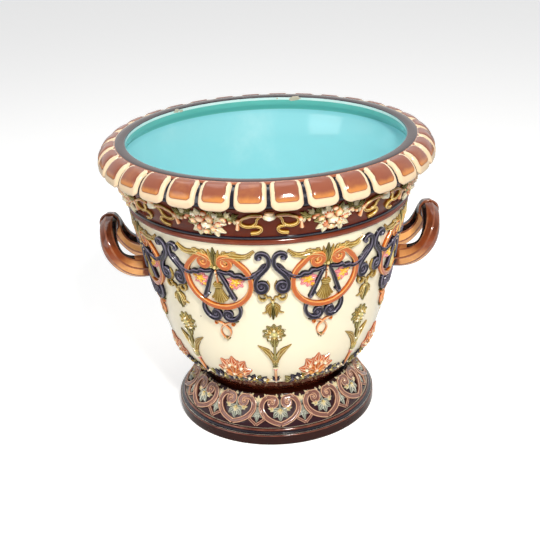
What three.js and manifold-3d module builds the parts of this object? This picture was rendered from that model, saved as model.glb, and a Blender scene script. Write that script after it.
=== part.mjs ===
// Jardiniere on stand, in glazed earthenware: a deep planting pot with two loop handles,
// standing loose in the well of a round stand.
// Millimetres, +Z up. The origin is the centre of the stand's base, on the floor.
// Azimuth 0 is the front (-Y) and grows towards +X; the handles sit at plus and minus 90 degrees.
import * as THREE from 'three';
import { mergeVertices } from 'three/addons/utils/BufferGeometryUtils.js';
import Module from 'manifold-3d';

const wasm = await Module();
wasm.setup();
const rad = THREE.MathUtils.degToRad;

// ---------------------------------------------------------------- driving dimensions
// Pot
const potTop = 385; // height of the rim above the floor
const mouthRadius = 180; // opening inside the lip
const rimFlat = 13; // flat ring on top of the rim
const lipDepth = 12; // upright inside of the lip
const undercut = 5.5; // how far the inside widens below the lip
const undercutDepth = 7; // height over which it widens
const wall = 10; // thickness of the bowl
const floorHeight = 78; // inside floor
const floorThickness = 13; // clay under the inside floor
const shoulderRadius = 180.6; // radius at the top of the plain wall
const coneAngle = rad(11.8); // lean of the upper wall
const bowlArc = 155; // radius of the arc that closes the bowl, tangent to the lean
const bowlArcTop = 147; // height where the arc starts
const footArris = 63; // height of the sharp edge where the bowl meets its foot
const footSetBack = 3.4; // foot ring inside that edge
const footRingWidth = 13; // width of the ring that stands in the well
const lappetDrop = 32; // the frieze ends this far below the rim, behind the lappets
const friezeRise = 37.5; // height of the sloping frieze
const mouldingBand = 12.5; // roll and fillet, from the plain wall to the frieze
const friezeFootStep = 3.4; // frieze ground outside the plain wall at its lower edge
const friezeTopStep = 5.5; // frieze ground outside the flat ring at its upper edge
const mouldingSwell = 4; // roll moulding outside the plain wall
const mouldingHeight = 8.5; // roll moulding
const filletStep = 4.8; // fillet above the roll, outside the plain wall
const filletHeight = 2.4;

const friezeTop = potTop - lappetDrop;
const friezeBottom = friezeTop - friezeRise;
const shoulderHeight = friezeBottom - mouldingBand; // top of the plain wall

// Lappet band round the rim
const lappetCount = 32;
const lappetReach = 24; // outside the flat ring
const lappetThroat = 3.3; // clay behind the darts between lappets is set back by this much
const lappetFlank = 0.2; // share of a lappet's pitch taken by each sloping flank
const lappetSeat = 3.3; // body behind the band, outside the flat ring

// Loop handles
const handleFootHeight = 219; // centre of a leg where it meets the bowl
const handleFootSpread = 28; // half the distance between the two legs
const handleReach = 212; // centre of the grip from the pot's axis
const handleRise = 51; // grip above the feet
const handleBulge = 50; // half-width that the grip's curve aims for
const handleShoulder = 44; // half-width that the legs aim for
const handleGrip = 22.5; // thickness of the grip
const handleLeg = 21; // thickness halfway down a leg
const handleRoot = 29; // thickness at the bowl
const collarSwell = 2; // bead round the middle of the grip
const collarWidth = 5;

// Stand
const standRadius = 136.6;
const standBand = 14.8; // plain upright band at the floor
const standRing = 18; // width of the ring that the stand rests on
const ledge = 6.4; // step from the band to the torus
const torusHeight = 3.6;
const standHeight = 57.5; // top bead round the well
const wellBead = 2; // width of that bead
const wellDepth = 16.5; // from the bead to the well's floor
const wellSlack = 4.4; // room round the pot's foot
const standPlate = 10; // clay under the well

// Relief
const bays = 8; // bays of ornament round the pot
const hearts = 12; // heart lappets round the stand
const seat = 0.42; // gap between an applied piece and the wall it is luted to
// The relief is drawn for a wall and a frieze of these heights, and stretches with them.
const wallStretch = (shoulderHeight - footArris) / 240;
const friezeStretch = friezeRise / 37.5;
const roundelHeight = footArris + 187 * wallStretch;
const strapHeight = footArris + 187 * wallStretch;
const garlandHeight = friezeTop - 19 * friezeStretch;
const sprayHeight = footArris + 75 * wallStretch;
const palmetteHeight = footArris + 49 * wallStretch;
const relief = 4.2; // height of the main straps
const roundelHalfWidth = 42; // middle of the roundel's ring
const roundelHalfHeight = 37.5;
const barReach = 47; // ends of the bars that cross a roundel
const heartTurn = 1.8; // degrees that the stand is turned against the pot
const bowlFacets = 32;
const standFacets = 36;
const longestEdge = 23.6; // an applied piece's faces are split to follow the round wall
const longestRise = 18; // and, on the closing arc of the bowl, to follow it in height

// ---------------------------------------------------------------- surfaces
const tangentRadius = shoulderRadius - (shoulderHeight - bowlArcTop) * Math.tan(coneAngle);
const arcRadius = tangentRadius - bowlArc * Math.cos(coneAngle);
const arcHeight = bowlArcTop + bowlArc * Math.sin(coneAngle);

// Radius and outward normal of the plain bowl at a height, set back by a depth of clay.
function bowl(z, depth = 0) {
  const arc = bowlArc - depth;
  const coneFoot = arcHeight - arc * Math.sin(coneAngle);
  if (z >= coneFoot) {
    const foot = arcRadius + arc * Math.cos(coneAngle);
    const r = foot + (z - coneFoot) * Math.tan(coneAngle);
    return { r, z, nr: Math.cos(coneAngle), nz: -Math.sin(coneAngle) };
  }
  const drop = z - arcHeight;
  const out = Math.sqrt(arc * arc - drop * drop);
  return { r: arcRadius + out, z, nr: out / arc, nz: drop / arc };
}

// A straight cone between two points of a profile, read by its height.
function cone(r0, z0, r1, z1) {
  const lean = Math.atan2(r1 - r0, z1 - z0);
  return (z) => ({
    r: r0 + (z - z0) * Math.tan(lean),
    z,
    nr: Math.cos(lean),
    nz: -Math.sin(lean),
  });
}

const flatRadius = mouthRadius + rimFlat;
const friezeFoot = shoulderRadius + friezeFootStep;
const friezeHead = flatRadius + friezeTopStep;
const frieze = cone(friezeFoot, friezeBottom, friezeHead, friezeTop);
const arrisRadius = bowl(footArris).r - 1;
const footRadius = arrisRadius - footSetBack;
const wellRadius = footRadius + wellSlack;
const wellFloor = standHeight - wellDepth;
const torusRadius = standRadius - ledge;
const slopeFoot = { r: torusRadius - 2.8, z: standBand + torusHeight + 3 };
const slopeHead = { r: wellRadius + wellBead + 1.5, z: standHeight - 1.5 };
const slopeLength = Math.hypot(slopeFoot.r - slopeHead.r, slopeHead.z - slopeFoot.z);

// The stand's ornamented slope, read by the distance up from its lower edge.
function slope(y) {
  const t = y / slopeLength;
  const dr = (slopeHead.r - slopeFoot.r) / slopeLength;
  const dz = (slopeHead.z - slopeFoot.z) / slopeLength;
  return {
    r: slopeFoot.r + (slopeHead.r - slopeFoot.r) * t,
    z: slopeFoot.z + (slopeHead.z - slopeFoot.z) * t,
    nr: dz,
    nz: -dr,
  };
}

// ---------------------------------------------------------------- solids
// A closed geometry as a solid, with shared vertices merged and empty triangles dropped.
function toSolid(geometry) {
  const bare = geometry.clone();
  for (const name of Object.keys(bare.attributes)) {
    if (name !== 'position') bare.deleteAttribute(name);
  }
  const merged = mergeVertices(bare, 1e-4);
  const index = merged.index.array;
  const kept = [];
  for (let i = 0; i < index.length; i += 3) {
    const [a, b, c] = [index[i], index[i + 1], index[i + 2]];
    if (a !== b && b !== c && c !== a) kept.push(a, b, c);
  }
  return solidOf(merged.attributes.position.array, kept);
}

function solidOf(positions, triangles) {
  const mesh = new wasm.Mesh({
    numProp: 3,
    vertProperties: new Float32Array(positions),
    triVerts: new Uint32Array(triangles),
  });
  return new wasm.Manifold(mesh);
}

function toGeometry(solid) {
  const mesh = solid.getMesh();
  const geometry = new THREE.BufferGeometry();
  geometry.setAttribute('position', new THREE.BufferAttribute(mesh.vertProperties, 3));
  geometry.setIndex(new THREE.BufferAttribute(mesh.triVerts, 1));
  geometry.computeVertexNormals();
  return geometry;
}

function join(solids) {
  return solids.reduce((whole, piece) => whole.add(piece));
}

// The largest body of a solid: crumbs that a cut leaves behind are dropped.
function largest(solid) {
  const bodies = solid.decompose();
  return bodies.reduce((best, body) => (body.volume() > best.volume() ? body : best));
}

// Rings of points, each ring with as many points, skinned and closed with flat ends.
function skin(rings) {
  const sides = rings[0].length;
  const points = rings.flat(2);
  const triangles = [];
  for (let i = 0; i + 1 < rings.length; i += 1) {
    for (let j = 0; j < sides; j += 1) {
      const k = (j + 1) % sides;
      const [a, b] = [i * sides + j, i * sides + k];
      triangles.push(a, b, a + sides, b, b + sides, a + sides);
    }
  }
  const last = (rings.length - 1) * sides;
  for (let j = 1; j + 1 < sides; j += 1) {
    triangles.push(0, j + 1, j);
    triangles.push(last, last + j, last + j + 1);
  }
  return facingOut(points, triangles);
}

// A solid whose faces point outwards, whichever way round its triangles were listed.
function facingOut(points, triangles) {
  let volume = 0;
  const p = (i) => new THREE.Vector3(points[3 * i], points[3 * i + 1], points[3 * i + 2]);
  for (let i = 0; i < triangles.length; i += 3) {
    const [a, b, c] = [p(triangles[i]), p(triangles[i + 1]), p(triangles[i + 2])];
    volume += a.dot(b.cross(c));
  }
  const order = volume < 0 ? [...triangles].reverse() : triangles;
  return solidOf(points, order);
}

// A turned solid from a profile of [radius, height] points, on the pot's azimuths.
function turned(profile, facets) {
  const points = profile.map(([r, z]) => new THREE.Vector2(r, z));
  const geometry = new THREE.LatheGeometry(points, facets);
  geometry.rotateX(Math.PI / 2);
  return toSolid(geometry);
}

// ---------------------------------------------------------------- flat relief
// Relief is drawn flat, x to the right, y up and h outwards, then bent onto its wall.
function valueAt(value, t) {
  if (!Array.isArray(value)) return value;
  const place = t * (value.length - 1);
  const i = Math.min(Math.floor(place), value.length - 2);
  return THREE.MathUtils.lerp(value[i], value[i + 1], place - i);
}

// A ridged strap along a path. Width and height are one number, or several shared along it.
function strap(path, width, height) {
  const rings = path.map(([x, y], i) => {
    const [x0, y0] = path[Math.max(i - 1, 0)];
    const [x1, y1] = path[Math.min(i + 1, path.length - 1)];
    const length = Math.hypot(x1 - x0, y1 - y0);
    const [sx, sy] = [-(y1 - y0) / length, (x1 - x0) / length];
    const t = i / (path.length - 1);
    const half = valueAt(width, t) / 2;
    return [
      [x - sx * half, y - sy * half, 0],
      [x, y, valueAt(height, t)],
      [x + sx * half, y + sy * half, 0],
    ];
  });
  return skin(rings);
}

// A low rounded boss: an outline round a centre, a shoulder ring and a crown.
function boss(x, y, outline, height) {
  const points = [x, y, 0];
  for (const [px, py] of outline) points.push(x + px, y + py, 0);
  for (const [px, py] of outline) points.push(x + 0.6 * px, y + 0.6 * py, 0.8 * height);
  points.push(x, y, height);
  const sides = outline.length;
  const crown = 2 * sides + 1;
  const triangles = [];
  for (let i = 0; i < sides; i += 1) {
    const [a, b] = [1 + i, 1 + ((i + 1) % sides)];
    triangles.push(0, b, a, a, b, a + sides, b, b + sides, a + sides, a + sides, b + sides, crown);
  }
  return facingOut(points, triangles);
}

// An oval outline, or a lobed one where a share is given that the dips between lobes lose.
function lobed(halfWidth, halfHeight, sides, dip = 0) {
  const points = [];
  for (let i = 0; i < sides; i += 1) {
    const angle = (2 * Math.PI * (i + 0.5)) / sides;
    const size = i % 2 === 1 ? 1 - dip : 1;
    points.push([halfWidth * size * Math.cos(angle), halfHeight * size * Math.sin(angle)]);
  }
  return points;
}

// Points on an arc or, where the radius changes, a volute. Angles are in degrees.
function arc(cx, cy, rx, ry, from, to, steps, shrink = 1) {
  const points = [];
  for (let i = 0; i <= steps; i += 1) {
    const angle = rad(THREE.MathUtils.lerp(from, to, i / steps));
    const size = THREE.MathUtils.lerp(1, shrink, i / steps);
    points.push([cx + rx * size * Math.cos(angle), cy + ry * size * Math.sin(angle)]);
  }
  return points;
}

const mirrored = (path) => path.map(([x, y]) => [-x, y]);
const bothSides = (path, width, height) => [
  strap(path, width, height),
  strap(mirrored(path), width, height),
];

// One strap that runs from the left end of a right-hand path over its start to its right end.
function acrossStrap(path, width, height) {
  const shared = Math.abs(path[0][0]) < 1e-6 ? 1 : 0;
  const full = [...mirrored(path).reverse(), ...path.slice(shared)];
  const widths = path.map((point, i) => valueAt(width, i / (path.length - 1)));
  return strap(full, [...widths.slice().reverse(), ...widths.slice(shared)], height);
}

// Halves every edge that spans too far across or in height. The limits are for edges on
// the seat, and are doubled for edges above it.
function refine(points, triangles, acrossLimit, riseLimit) {
  let list = triangles;
  for (let pass = 0; pass < 5; pass += 1) {
    const middles = new Map();
    const middle = (a, b) => {
      const onSeat = points[3 * a + 2] + points[3 * b + 2] < 0.01;
      const slack = onSeat ? 1 : 2;
      const across = Math.abs(points[3 * a] - points[3 * b]);
      const rise = Math.abs(points[3 * a + 1] - points[3 * b + 1]);
      if (across <= slack * acrossLimit && rise <= slack * riseLimit) return -1;
      const key = a < b ? `${a}_${b}` : `${b}_${a}`;
      if (!middles.has(key)) {
        middles.set(key, points.length / 3);
        for (let k = 0; k < 3; k += 1) points.push((points[3 * a + k] + points[3 * b + k]) / 2);
      }
      return middles.get(key);
    };
    const next = [];
    for (let i = 0; i < list.length; i += 3) {
      let corners = [list[i], list[i + 1], list[i + 2]];
      let cuts = [0, 1, 2].map((k) => middle(corners[k], corners[(k + 1) % 3]));
      const count = cuts.filter((cut) => cut >= 0).length;
      // Turn the triangle so that an uncut edge, or the only cut one, comes first.
      while ((count === 1 && cuts[0] < 0) || (count === 2 && cuts[2] >= 0)) {
        corners = [corners[1], corners[2], corners[0]];
        cuts = [cuts[1], cuts[2], cuts[0]];
      }
      const [a, b, c] = corners;
      const [ab, bc, ca] = cuts;
      if (count === 0) next.push(a, b, c);
      if (count === 1) next.push(a, ab, c, ab, b, c);
      if (count === 2) next.push(ab, b, bc, a, ab, bc, a, bc, c);
      if (count === 3) next.push(a, ab, ca, ab, b, bc, ca, bc, c, ab, bc, ca);
    }
    list = next;
    if (middles.size === 0) break;
  }
  return list;
}

// Bends flat relief onto a surface, centred on an azimuth in degrees. A surface that is
// straight in height needs no limit on the rise of its edges.
function bend(flat, surface, azimuth, y0, referenceRadius, stretch = 1, riseLimit = Infinity) {
  const mesh = flat.getMesh();
  const points = [...mesh.vertProperties];
  const triangles = refine(points, [...mesh.triVerts], longestEdge, riseLimit);
  for (let i = 0; i < points.length; i += 3) {
    const angle = rad(azimuth) + points[i] / referenceRadius;
    const at = surface(y0 + points[i + 1] * stretch);
    const lift = points[i + 2] + seat;
    const r = at.r + at.nr * lift;
    points[i] = r * Math.sin(angle);
    points[i + 1] = -r * Math.cos(angle);
    points[i + 2] = at.z + at.nz * lift;
  }
  return solidOf(points, triangles);
}

// ---------------------------------------------------------------- stand and pot
function standProfile() {
  const ringInside = standRadius - standRing;
  const plateUnder = wellFloor - standPlate;
  return [
    [0, plateUnder],
    [wellRadius - 6, plateUnder],
    [ringInside - 2, standBand * 0.5],
    [ringInside, 0],
    [standRadius, 0],
    [standRadius, standBand],
    [torusRadius + 2.6, standBand + 1.6],
    [torusRadius + 1.2, standBand + 0.9],
    [torusRadius, standBand + torusHeight * 0.5],
    [torusRadius - 2.2, standBand + torusHeight + 0.8],
    [slopeFoot.r, slopeFoot.z],
    [slopeHead.r, slopeHead.z],
    [wellRadius + wellBead, standHeight],
    [wellRadius, standHeight - 0.6],
    [wellRadius - 1, wellFloor],
    [0, wellFloor],
  ];
}

function potProfile() {
  const under = floorHeight - floorThickness;
  const seatHeight = wellFloor + seat;
  const ringInside = footRadius - footRingWidth;
  const rollTop = shoulderHeight + mouldingHeight;
  const filletTop = rollTop + filletHeight;
  const bowlSteps = 5;
  const outer = [];
  for (let i = 0; i <= bowlSteps; i += 1) {
    const z = THREE.MathUtils.lerp(footArris + 1.2, bowlArcTop, (i / bowlSteps) ** 1.35);
    outer.push([bowl(z).r, z]);
  }
  const inner = [];
  const coneFoot = arcHeight - (bowlArc - wall) * Math.sin(coneAngle);
  const innerSteps = 2;
  for (let i = 0; i <= innerSteps; i += 1) {
    const z = THREE.MathUtils.lerp(coneFoot, floorHeight + 4, (i / innerSteps) ** 0.8);
    inner.push([bowl(z, wall).r, z]);
  }
  const undercutHeight = potTop - lipDepth - undercutDepth;
  return [
    [0, under],
    [ringInside - 2, under - 2],
    [ringInside, seatHeight],
    [footRadius, seatHeight],
    [arrisRadius, footArris],
    ...outer,
    [shoulderRadius, shoulderHeight],
    [shoulderRadius + mouldingSwell, shoulderHeight + mouldingHeight * 0.25],
    [shoulderRadius + mouldingSwell, shoulderHeight + mouldingHeight * 0.75],
    [shoulderRadius + filletStep, rollTop + 0.4],
    [shoulderRadius + filletStep, filletTop],
    [friezeFoot, friezeBottom],
    [friezeHead, friezeTop],
    [flatRadius + lappetSeat, friezeTop + 1],
    [flatRadius + lappetSeat, potTop - 4],
    [flatRadius, potTop],
    [mouthRadius, potTop],
    [mouthRadius, potTop - lipDepth],
    [mouthRadius + undercut, undercutHeight],
    [bowl(shoulderHeight + 10, wall).r, shoulderHeight + 10],
    ...inner,
    [bowl(floorHeight + 4, wall).r - 5, floorHeight],
    [0, floorHeight],
  ];
}

// The bowl's outside grown by the seating gap, to trim what is luted to it.
function bowlCore() {
  const bottom = footArris + 2;
  const points = [[0, bottom]];
  const steps = 12;
  for (let i = 0; i <= steps; i += 1) {
    const at = bowl(THREE.MathUtils.lerp(bottom, shoulderHeight, i / steps));
    points.push([at.r + at.nr * seat, at.z]);
  }
  points.push([0, shoulderHeight]);
  return turned(points, bowlFacets);
}

// The band of lappets: a closed ring whose outside dips at the darts between the lappets.
function lappetBand() {
  const inside = flatRadius + lappetSeat + seat;
  const low = friezeTop + 1 + seat;
  const high = potTop - 0.8;
  const reach = lappetReach;
  // Outer profile from the top edge down to the underside: [reach, height, dip at a dart].
  const outline = [
    [0.34 * reach, high - 0.6, 0.4],
    [0.66 * reach, high - 6.6, 0.8],
    [0.88 * reach, high - 14, 1],
    [reach, high - 21.5, 1.2],
    [0.82 * reach, low, 1.8],
  ];
  const across = [0, lappetFlank, 1 - lappetFlank];
  const rings = [];
  for (let i = 0; i < lappetCount; i += 1) {
    for (const share of across) {
      const angle = (2 * Math.PI * (i + share)) / lappetCount;
      const dip = share === 0 ? lappetThroat : 0;
      const at = (r, z) => [r * Math.sin(angle), -r * Math.cos(angle), z];
      rings.push([
        at(inside, high),
        ...outline.map(([r, z, depth]) => at(flatRadius + r - dip * depth, z)),
        at(inside, low),
      ]);
    }
  }
  const sides = rings[0].length;
  const points = rings.flat(2);
  const triangles = [];
  for (let i = 0; i < rings.length; i += 1) {
    const next = (i + 1) % rings.length;
    for (let j = 0; j < sides; j += 1) {
      const k = (j + 1) % sides;
      const [a, b, c, d] = [i * sides + j, i * sides + k, next * sides + j, next * sides + k];
      triangles.push(a, b, c, b, d, c);
    }
  }
  return facingOut(points, triangles);
}

// ---------------------------------------------------------------- handles
// Centreline of the right-hand loop, from the front foot over the grip to the back foot.
function handleLine(steps) {
  const footOut = Math.sqrt(bowl(handleFootHeight).r ** 2 - handleFootSpread ** 2);
  const top = handleFootHeight + handleRise;
  const rise = new THREE.CubicBezierCurve3(
    new THREE.Vector3(footOut, -handleFootSpread, handleFootHeight),
    new THREE.Vector3(footOut + 52, -handleShoulder, handleFootHeight - 3),
    new THREE.Vector3(handleReach, -handleBulge, top),
    new THREE.Vector3(handleReach, 0, top),
  );
  const front = rise.getPoints(steps);
  const inward = new THREE.Vector3(footOut - 12, -handleFootSpread + 2, handleFootHeight);
  const half = [inward, ...front.slice(0, -1)];
  const back = half.map((p) => new THREE.Vector3(p.x, -p.y, p.z)).reverse();
  const collar = [-1, -0.6, 0.6, 1].map((s) => new THREE.Vector3(handleReach, s * collarWidth / 2, top));
  return { points: [...half, ...collar, ...back], legPoints: half.length };
}

// An eight-sided bar along the centreline, thicker at its roots, with a bead round the grip.
function handleBar(grow) {
  const { points, legPoints } = handleLine(6);
  const planeNormal = new THREE.Vector3(-handleRise, 0, handleReach - bowl(handleFootHeight).r);
  planeNormal.normalize();
  const sizes = points.map((point, i) => {
    const fromEnd = Math.min(i, points.length - 1 - i);
    if (fromEnd === legPoints + 1) return handleGrip + 2 * collarSwell;
    if (fromEnd >= legPoints) return handleGrip;
    const t = Math.max(fromEnd - 1, 0) / (legPoints - 1);
    return valueAt([handleRoot, handleLeg, handleGrip], t);
  });
  const rings = points.map((point, i) => {
    const before = points[Math.max(i - 1, 0)];
    const after = points[Math.min(i + 1, points.length - 1)];
    const along = after.clone().sub(before).normalize();
    const side = along.clone().cross(planeNormal).normalize();
    const up = side.clone().cross(along).normalize();
    const radius = (sizes[i] / 2 + grow) / Math.cos(Math.PI / 8);
    const ring = [];
    for (let k = 0; k < 8; k += 1) {
      const angle = (Math.PI / 4) * (k + 0.5);
      const offset = side.clone().multiplyScalar(radius * Math.cos(angle));
      offset.addScaledVector(up, radius * Math.sin(angle));
      ring.push(point.clone().add(offset).toArray());
    }
    return ring;
  });
  return skin(rings);
}

// ---------------------------------------------------------------- pieces of relief
// Roundel: an open ring whose ends roll into volutes, crossed by a bar,
// with acanthus wings above, a tassel inside, and a pair of scrolls below.
function roundel() {
  const w = roundelHalfWidth;
  const h = roundelHalfHeight;
  const volute = { x: 13.7, y: h - 9.5, r: 8 };
  const ring = [
    ...arc(0, 0, w, h, -90, 46, 4),
    ...arc(volute.x, volute.y, volute.r, volute.r, 60, 250, 2, 0.8),
  ];
  const wing = [[25, h - 7], [36, h - 3], [49, h + 9.5]];
  const scroll = [[22, -h + 4], ...arc(11, -h - 12, 10, 10, 15, -250, 3, 0.5)];
  return join([
    acrossStrap(ring, [7.5, 7.5, 3.5], relief),
    strap([[-barReach, h * 0.36], [barReach, h * 0.36]], 4.6, relief + 1.2),
    ...bothSides(wing, [6, 9, 1], relief - 0.4),
    ...bothSides(scroll, [5.5, 5.5, 3.5], relief - 0.2),
    strap([[0, h + 10], [0, h * 0.4], [0, 6 - h]], [7, 5, 19], relief + 0.4),
  ]);
}

// Strapwork pair: two S-scrolls back to back, gold scrolls below and a bell flower pendant.
function strapPair() {
  const start = barReachGap();
  const hook = [[15, 36], [11, 43], [4, 38], [3.6, 30], [15, 12]];
  const scroll = [[start, 13.2], ...arc(13.4, -2, 10, 12, 100, 380, 4, 0.4)];
  const gold = [[0, -22], [9.5, -9.5]];
  return join([
    ...bothSides(hook, [4, 6, 5.5], relief + 0.2),
    ...bothSides(scroll, [4.6, 6, 3.5], relief + 0.2),
    acrossStrap(gold, [5, 3], relief - 1),
    strap([[0, -20], [0, -41], [0, -51]], [4, 19, 4], relief - 0.6),
  ]);
}

// Garland of the frieze: fruit between leafy swags that end in ribbons, and one cabochon.
function garland() {
  const swag = [[0, 3], [28, 7], [48, 1], [53, -17]];
  const cabochon = garlandPitch() / 2;
  return join([
    boss(0, -2, lobed(18, 15, 8, 0.2), 5),
    acrossStrap(swag, [10, 9, 6, 3], 3.8),
    strap([[40, 3], [cabochon, 8]], [4, 5], 2.6),
    boss(cabochon, 9, lobed(8, 5, 6), 4.6),
  ]);
}

// Flower spray: a fan-shaped bloom, two curving leaves, a calyx and a stem.
function spray() {
  const leaf = [[0, -12], [10, 4], [20.5, 17]];
  const stem = [[0, -47], [0, -17], [0, -5], [0, 30]];
  return join([
    boss(0, 36, lobed(13.5, 14, 8, 0.12), 4.4),
    ...bothSides(leaf, [4, 7, 1], 3.4),
    strap(stem, [4, 4, 13, 4], [2.8, 2.8, 4.4, 2.8]),
  ]);
}

// Palmette: a fan of lobes standing on a low fringe of leaves.
function palmette() {
  const lobes = 5;
  const outline = [];
  for (let i = 0; i < 2 * lobes - 1; i += 1) {
    const turn = rad(THREE.MathUtils.lerp(-96, 96, i / (2 * lobes - 2)));
    const reach = i % 2 === 1 ? 18 : 27 - 3 * Math.abs(turn);
    outline.push([reach * Math.sin(turn), reach * Math.cos(turn)]);
  }
  outline.push([0, -7]);
  const fringe = [[0, -14], [18, -13], [34, -9]];
  return join([boss(0, -8, outline, 4.2), acrossStrap(fringe, [10, 9, 2], 3.2)]);
}

// Heart lappet of the stand: an outline ending in two volutes, with a leaf inside.
function heart() {
  const side = [
    [0, 2],
    [13, 8],
    [26.5, 23],
    [21, 36],
    ...arc(9.6, 30.5, 7, 7, 70, 380, 3, 0.45),
  ];
  return join([
    acrossStrap(side, [5, 5, 3], 3),
    strap([[0, 32], [0, 17], [0, 4]], [4, 13, 4], 2.6),
  ]);
}

// Arc lengths at the radii that the flat drawings refer to.
const drawingRadius = 170;
const friezeDrawingRadius = 191;
const lowerDrawingRadius = 148;
const standDrawingRadius = 114;
function garlandPitch() {
  return (2 * Math.PI * friezeDrawingRadius) / bays;
}
// Where a strap pair takes over the bar of its neighbouring roundel.
function barReachGap() {
  return (Math.PI * drawingRadius) / bays - barReach - 2 * seat;
}

// ---------------------------------------------------------------- assembly
const finish = (color, roughness) => {
  return new THREE.MeshStandardMaterial({ color, roughness, metalness: 0 });
};
const cream = finish(0xf6efd6, 0.16);
const brown = finish(0x6b3320, 0.14);
const aubergine = finish(0x3a2630, 0.14);
const lappetGlaze = finish(0xc08a62, 0.16);
const orange = finish(0xe0823c, 0.18);
const navy = finish(0x32303f, 0.16);
const gold = finish(0xa89446, 0.2);
const fruit = finish(0xd8b27c, 0.2);
const coral = finish(0xd9763e, 0.2);
const copper = finish(0xc48a72, 0.18);

const part = new THREE.Group();
const standGroup = new THREE.Group();
const potGroup = new THREE.Group();
part.add(standGroup, potGroup);

function place(group, name, solid, material) {
  const mesh = new THREE.Mesh(toGeometry(solid), material);
  mesh.name = name;
  group.add(mesh);
}

const number = (i) => String(i + 1).padStart(2, '0');

place(standGroup, 'stand', turned(standProfile(), standFacets), aubergine);
const heartFlat = heart();
for (let i = 0; i < hearts; i += 1) {
  const azimuth = heartTurn + (360 * i) / hearts;
  const solid = bend(heartFlat, slope, azimuth, 0, standDrawingRadius);
  place(standGroup, `stand_heart_${number(i)}`, solid, copper);
}

place(potGroup, 'jardiniere_body', turned(potProfile(), bowlFacets), cream);
place(potGroup, 'lappet_rim', lappetBand(), lappetGlaze);

const core = bowlCore();
const bar = largest(handleBar(0).subtract(core));
const clearance = handleBar(seat);
const turnAbout = (solid) => solid.rotate([0, 0, 180]);
place(potGroup, 'handle_right', bar, brown);
place(potGroup, 'handle_left', turnAbout(bar), brown);
const bothHandles = clearance.add(turnAbout(clearance));

const roundelFlat = roundel();
const strapFlat = strapPair();
const garlandFlat = garland();
const sprayFlat = spray();
const palmetteFlat = palmette();
for (let i = 0; i < bays; i += 1) {
  const onBay = (360 * i) / bays;
  const betweenBays = (360 * (i + 0.5)) / bays;
  const upper = [drawingRadius, wallStretch];
  const lower = [lowerDrawingRadius, wallStretch, longestRise];
  const ring = bend(roundelFlat, bowl, betweenBays, roundelHeight, ...upper);
  const pair = bend(strapFlat, bowl, onBay, strapHeight, ...upper);
  const swag = bend(garlandFlat, frieze, betweenBays, garlandHeight, friezeDrawingRadius, friezeStretch);
  const stem = bend(sprayFlat, bowl, onBay, sprayHeight, ...lower);
  const fan = bend(palmetteFlat, bowl, betweenBays, palmetteHeight, ...lower);
  place(potGroup, `roundel_${number(i)}`, largest(ring.subtract(bothHandles)), orange);
  place(potGroup, `strap_pair_${number(i)}`, largest(pair.subtract(bothHandles)), navy);
  place(potGroup, `garland_${number(i)}`, swag, fruit);
  place(potGroup, `flower_spray_${number(i)}`, stem, gold);
  place(potGroup, `palmette_${number(i)}`, fan, coral);
}

export default part;
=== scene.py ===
# %% [markdown]
# # A glazed jardiniere on its stand
# A jardiniere is a large pot that hides a planting pot. This one is moulded earthenware with
# coloured lead glazes: a cream bowl with strapwork in relief, a dark frieze of fruit, a rim of
# cushion-shaped lappets and a turquoise inside. It stands loose in the well of a round stand.
# The CAD frame gives the true sizes, and every piece below is modelled onto its surfaces.

import math
from functools import partial

import bpy
from mathutils import Matrix, Vector


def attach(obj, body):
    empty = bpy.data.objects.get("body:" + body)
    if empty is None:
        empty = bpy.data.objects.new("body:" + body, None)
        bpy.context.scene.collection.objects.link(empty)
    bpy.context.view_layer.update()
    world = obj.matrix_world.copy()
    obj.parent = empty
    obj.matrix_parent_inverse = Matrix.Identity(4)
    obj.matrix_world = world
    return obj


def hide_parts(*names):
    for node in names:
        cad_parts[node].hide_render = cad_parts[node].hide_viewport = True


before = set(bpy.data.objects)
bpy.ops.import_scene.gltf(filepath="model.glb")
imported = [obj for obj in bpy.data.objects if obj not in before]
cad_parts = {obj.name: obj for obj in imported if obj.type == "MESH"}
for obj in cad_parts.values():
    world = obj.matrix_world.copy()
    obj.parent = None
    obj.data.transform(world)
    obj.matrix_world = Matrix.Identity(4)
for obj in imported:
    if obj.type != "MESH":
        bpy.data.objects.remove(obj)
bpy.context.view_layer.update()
bpy.ops.object.select_all(action="DESELECT")

# %% [markdown]
# ## Camera
# The camera stands where the photographer stood: 1.3 m in front and a little above the rim,
# turned down by 24 degrees and rolled slightly. Its axes are worked out from these three
# angles, because a camera looks along its own -Z axis with +Y up.

# %% Camera
CAMERA_PLACE = Vector((0, -1.312458, 0.771887))
PITCH, YAW, ROLL = math.radians(23.856), math.radians(-0.088), math.radians(-2.474)
LENS, SENSOR_WIDTH = 70.4, 36

looking = Vector((math.sin(YAW) * math.cos(PITCH), math.cos(YAW) * math.cos(PITCH), -math.sin(PITCH)))
level = Vector((math.cos(YAW), -math.sin(YAW), 0))
upright = level.cross(looking)
across = math.cos(ROLL) * level + math.sin(ROLL) * upright
above = -math.sin(ROLL) * level + math.cos(ROLL) * upright

bpy.ops.object.camera_add()
camera = bpy.context.object
camera.name = "camera"
turn = Matrix((across, above, -looking)).transposed().to_4x4()
camera.matrix_world = Matrix.Translation(CAMERA_PLACE) @ turn
camera.data.lens = LENS
camera.data.sensor_width = SENSOR_WIDTH
bpy.context.scene.camera = camera
print("camera looks down by", round(math.degrees(PITCH), 1), "degrees")

# %% [markdown]
# ## Lamps
# Glaze is a mirror with colour under it, so every lamp leaves a bright spot on it. One small
# lamp in front, high on the right, gives the shape and the sharp lights on the relief. A large
# weak one fills the left, and another stands over the pot and lights its rim and its inside.

# %% Lamps
scene = bpy.context.scene
scene.view_settings.view_transform = "Standard"
BOWL_MIDDLE, RIM_MIDDLE = (0, 0, 0.22), (0, 0, 0.3)


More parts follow.
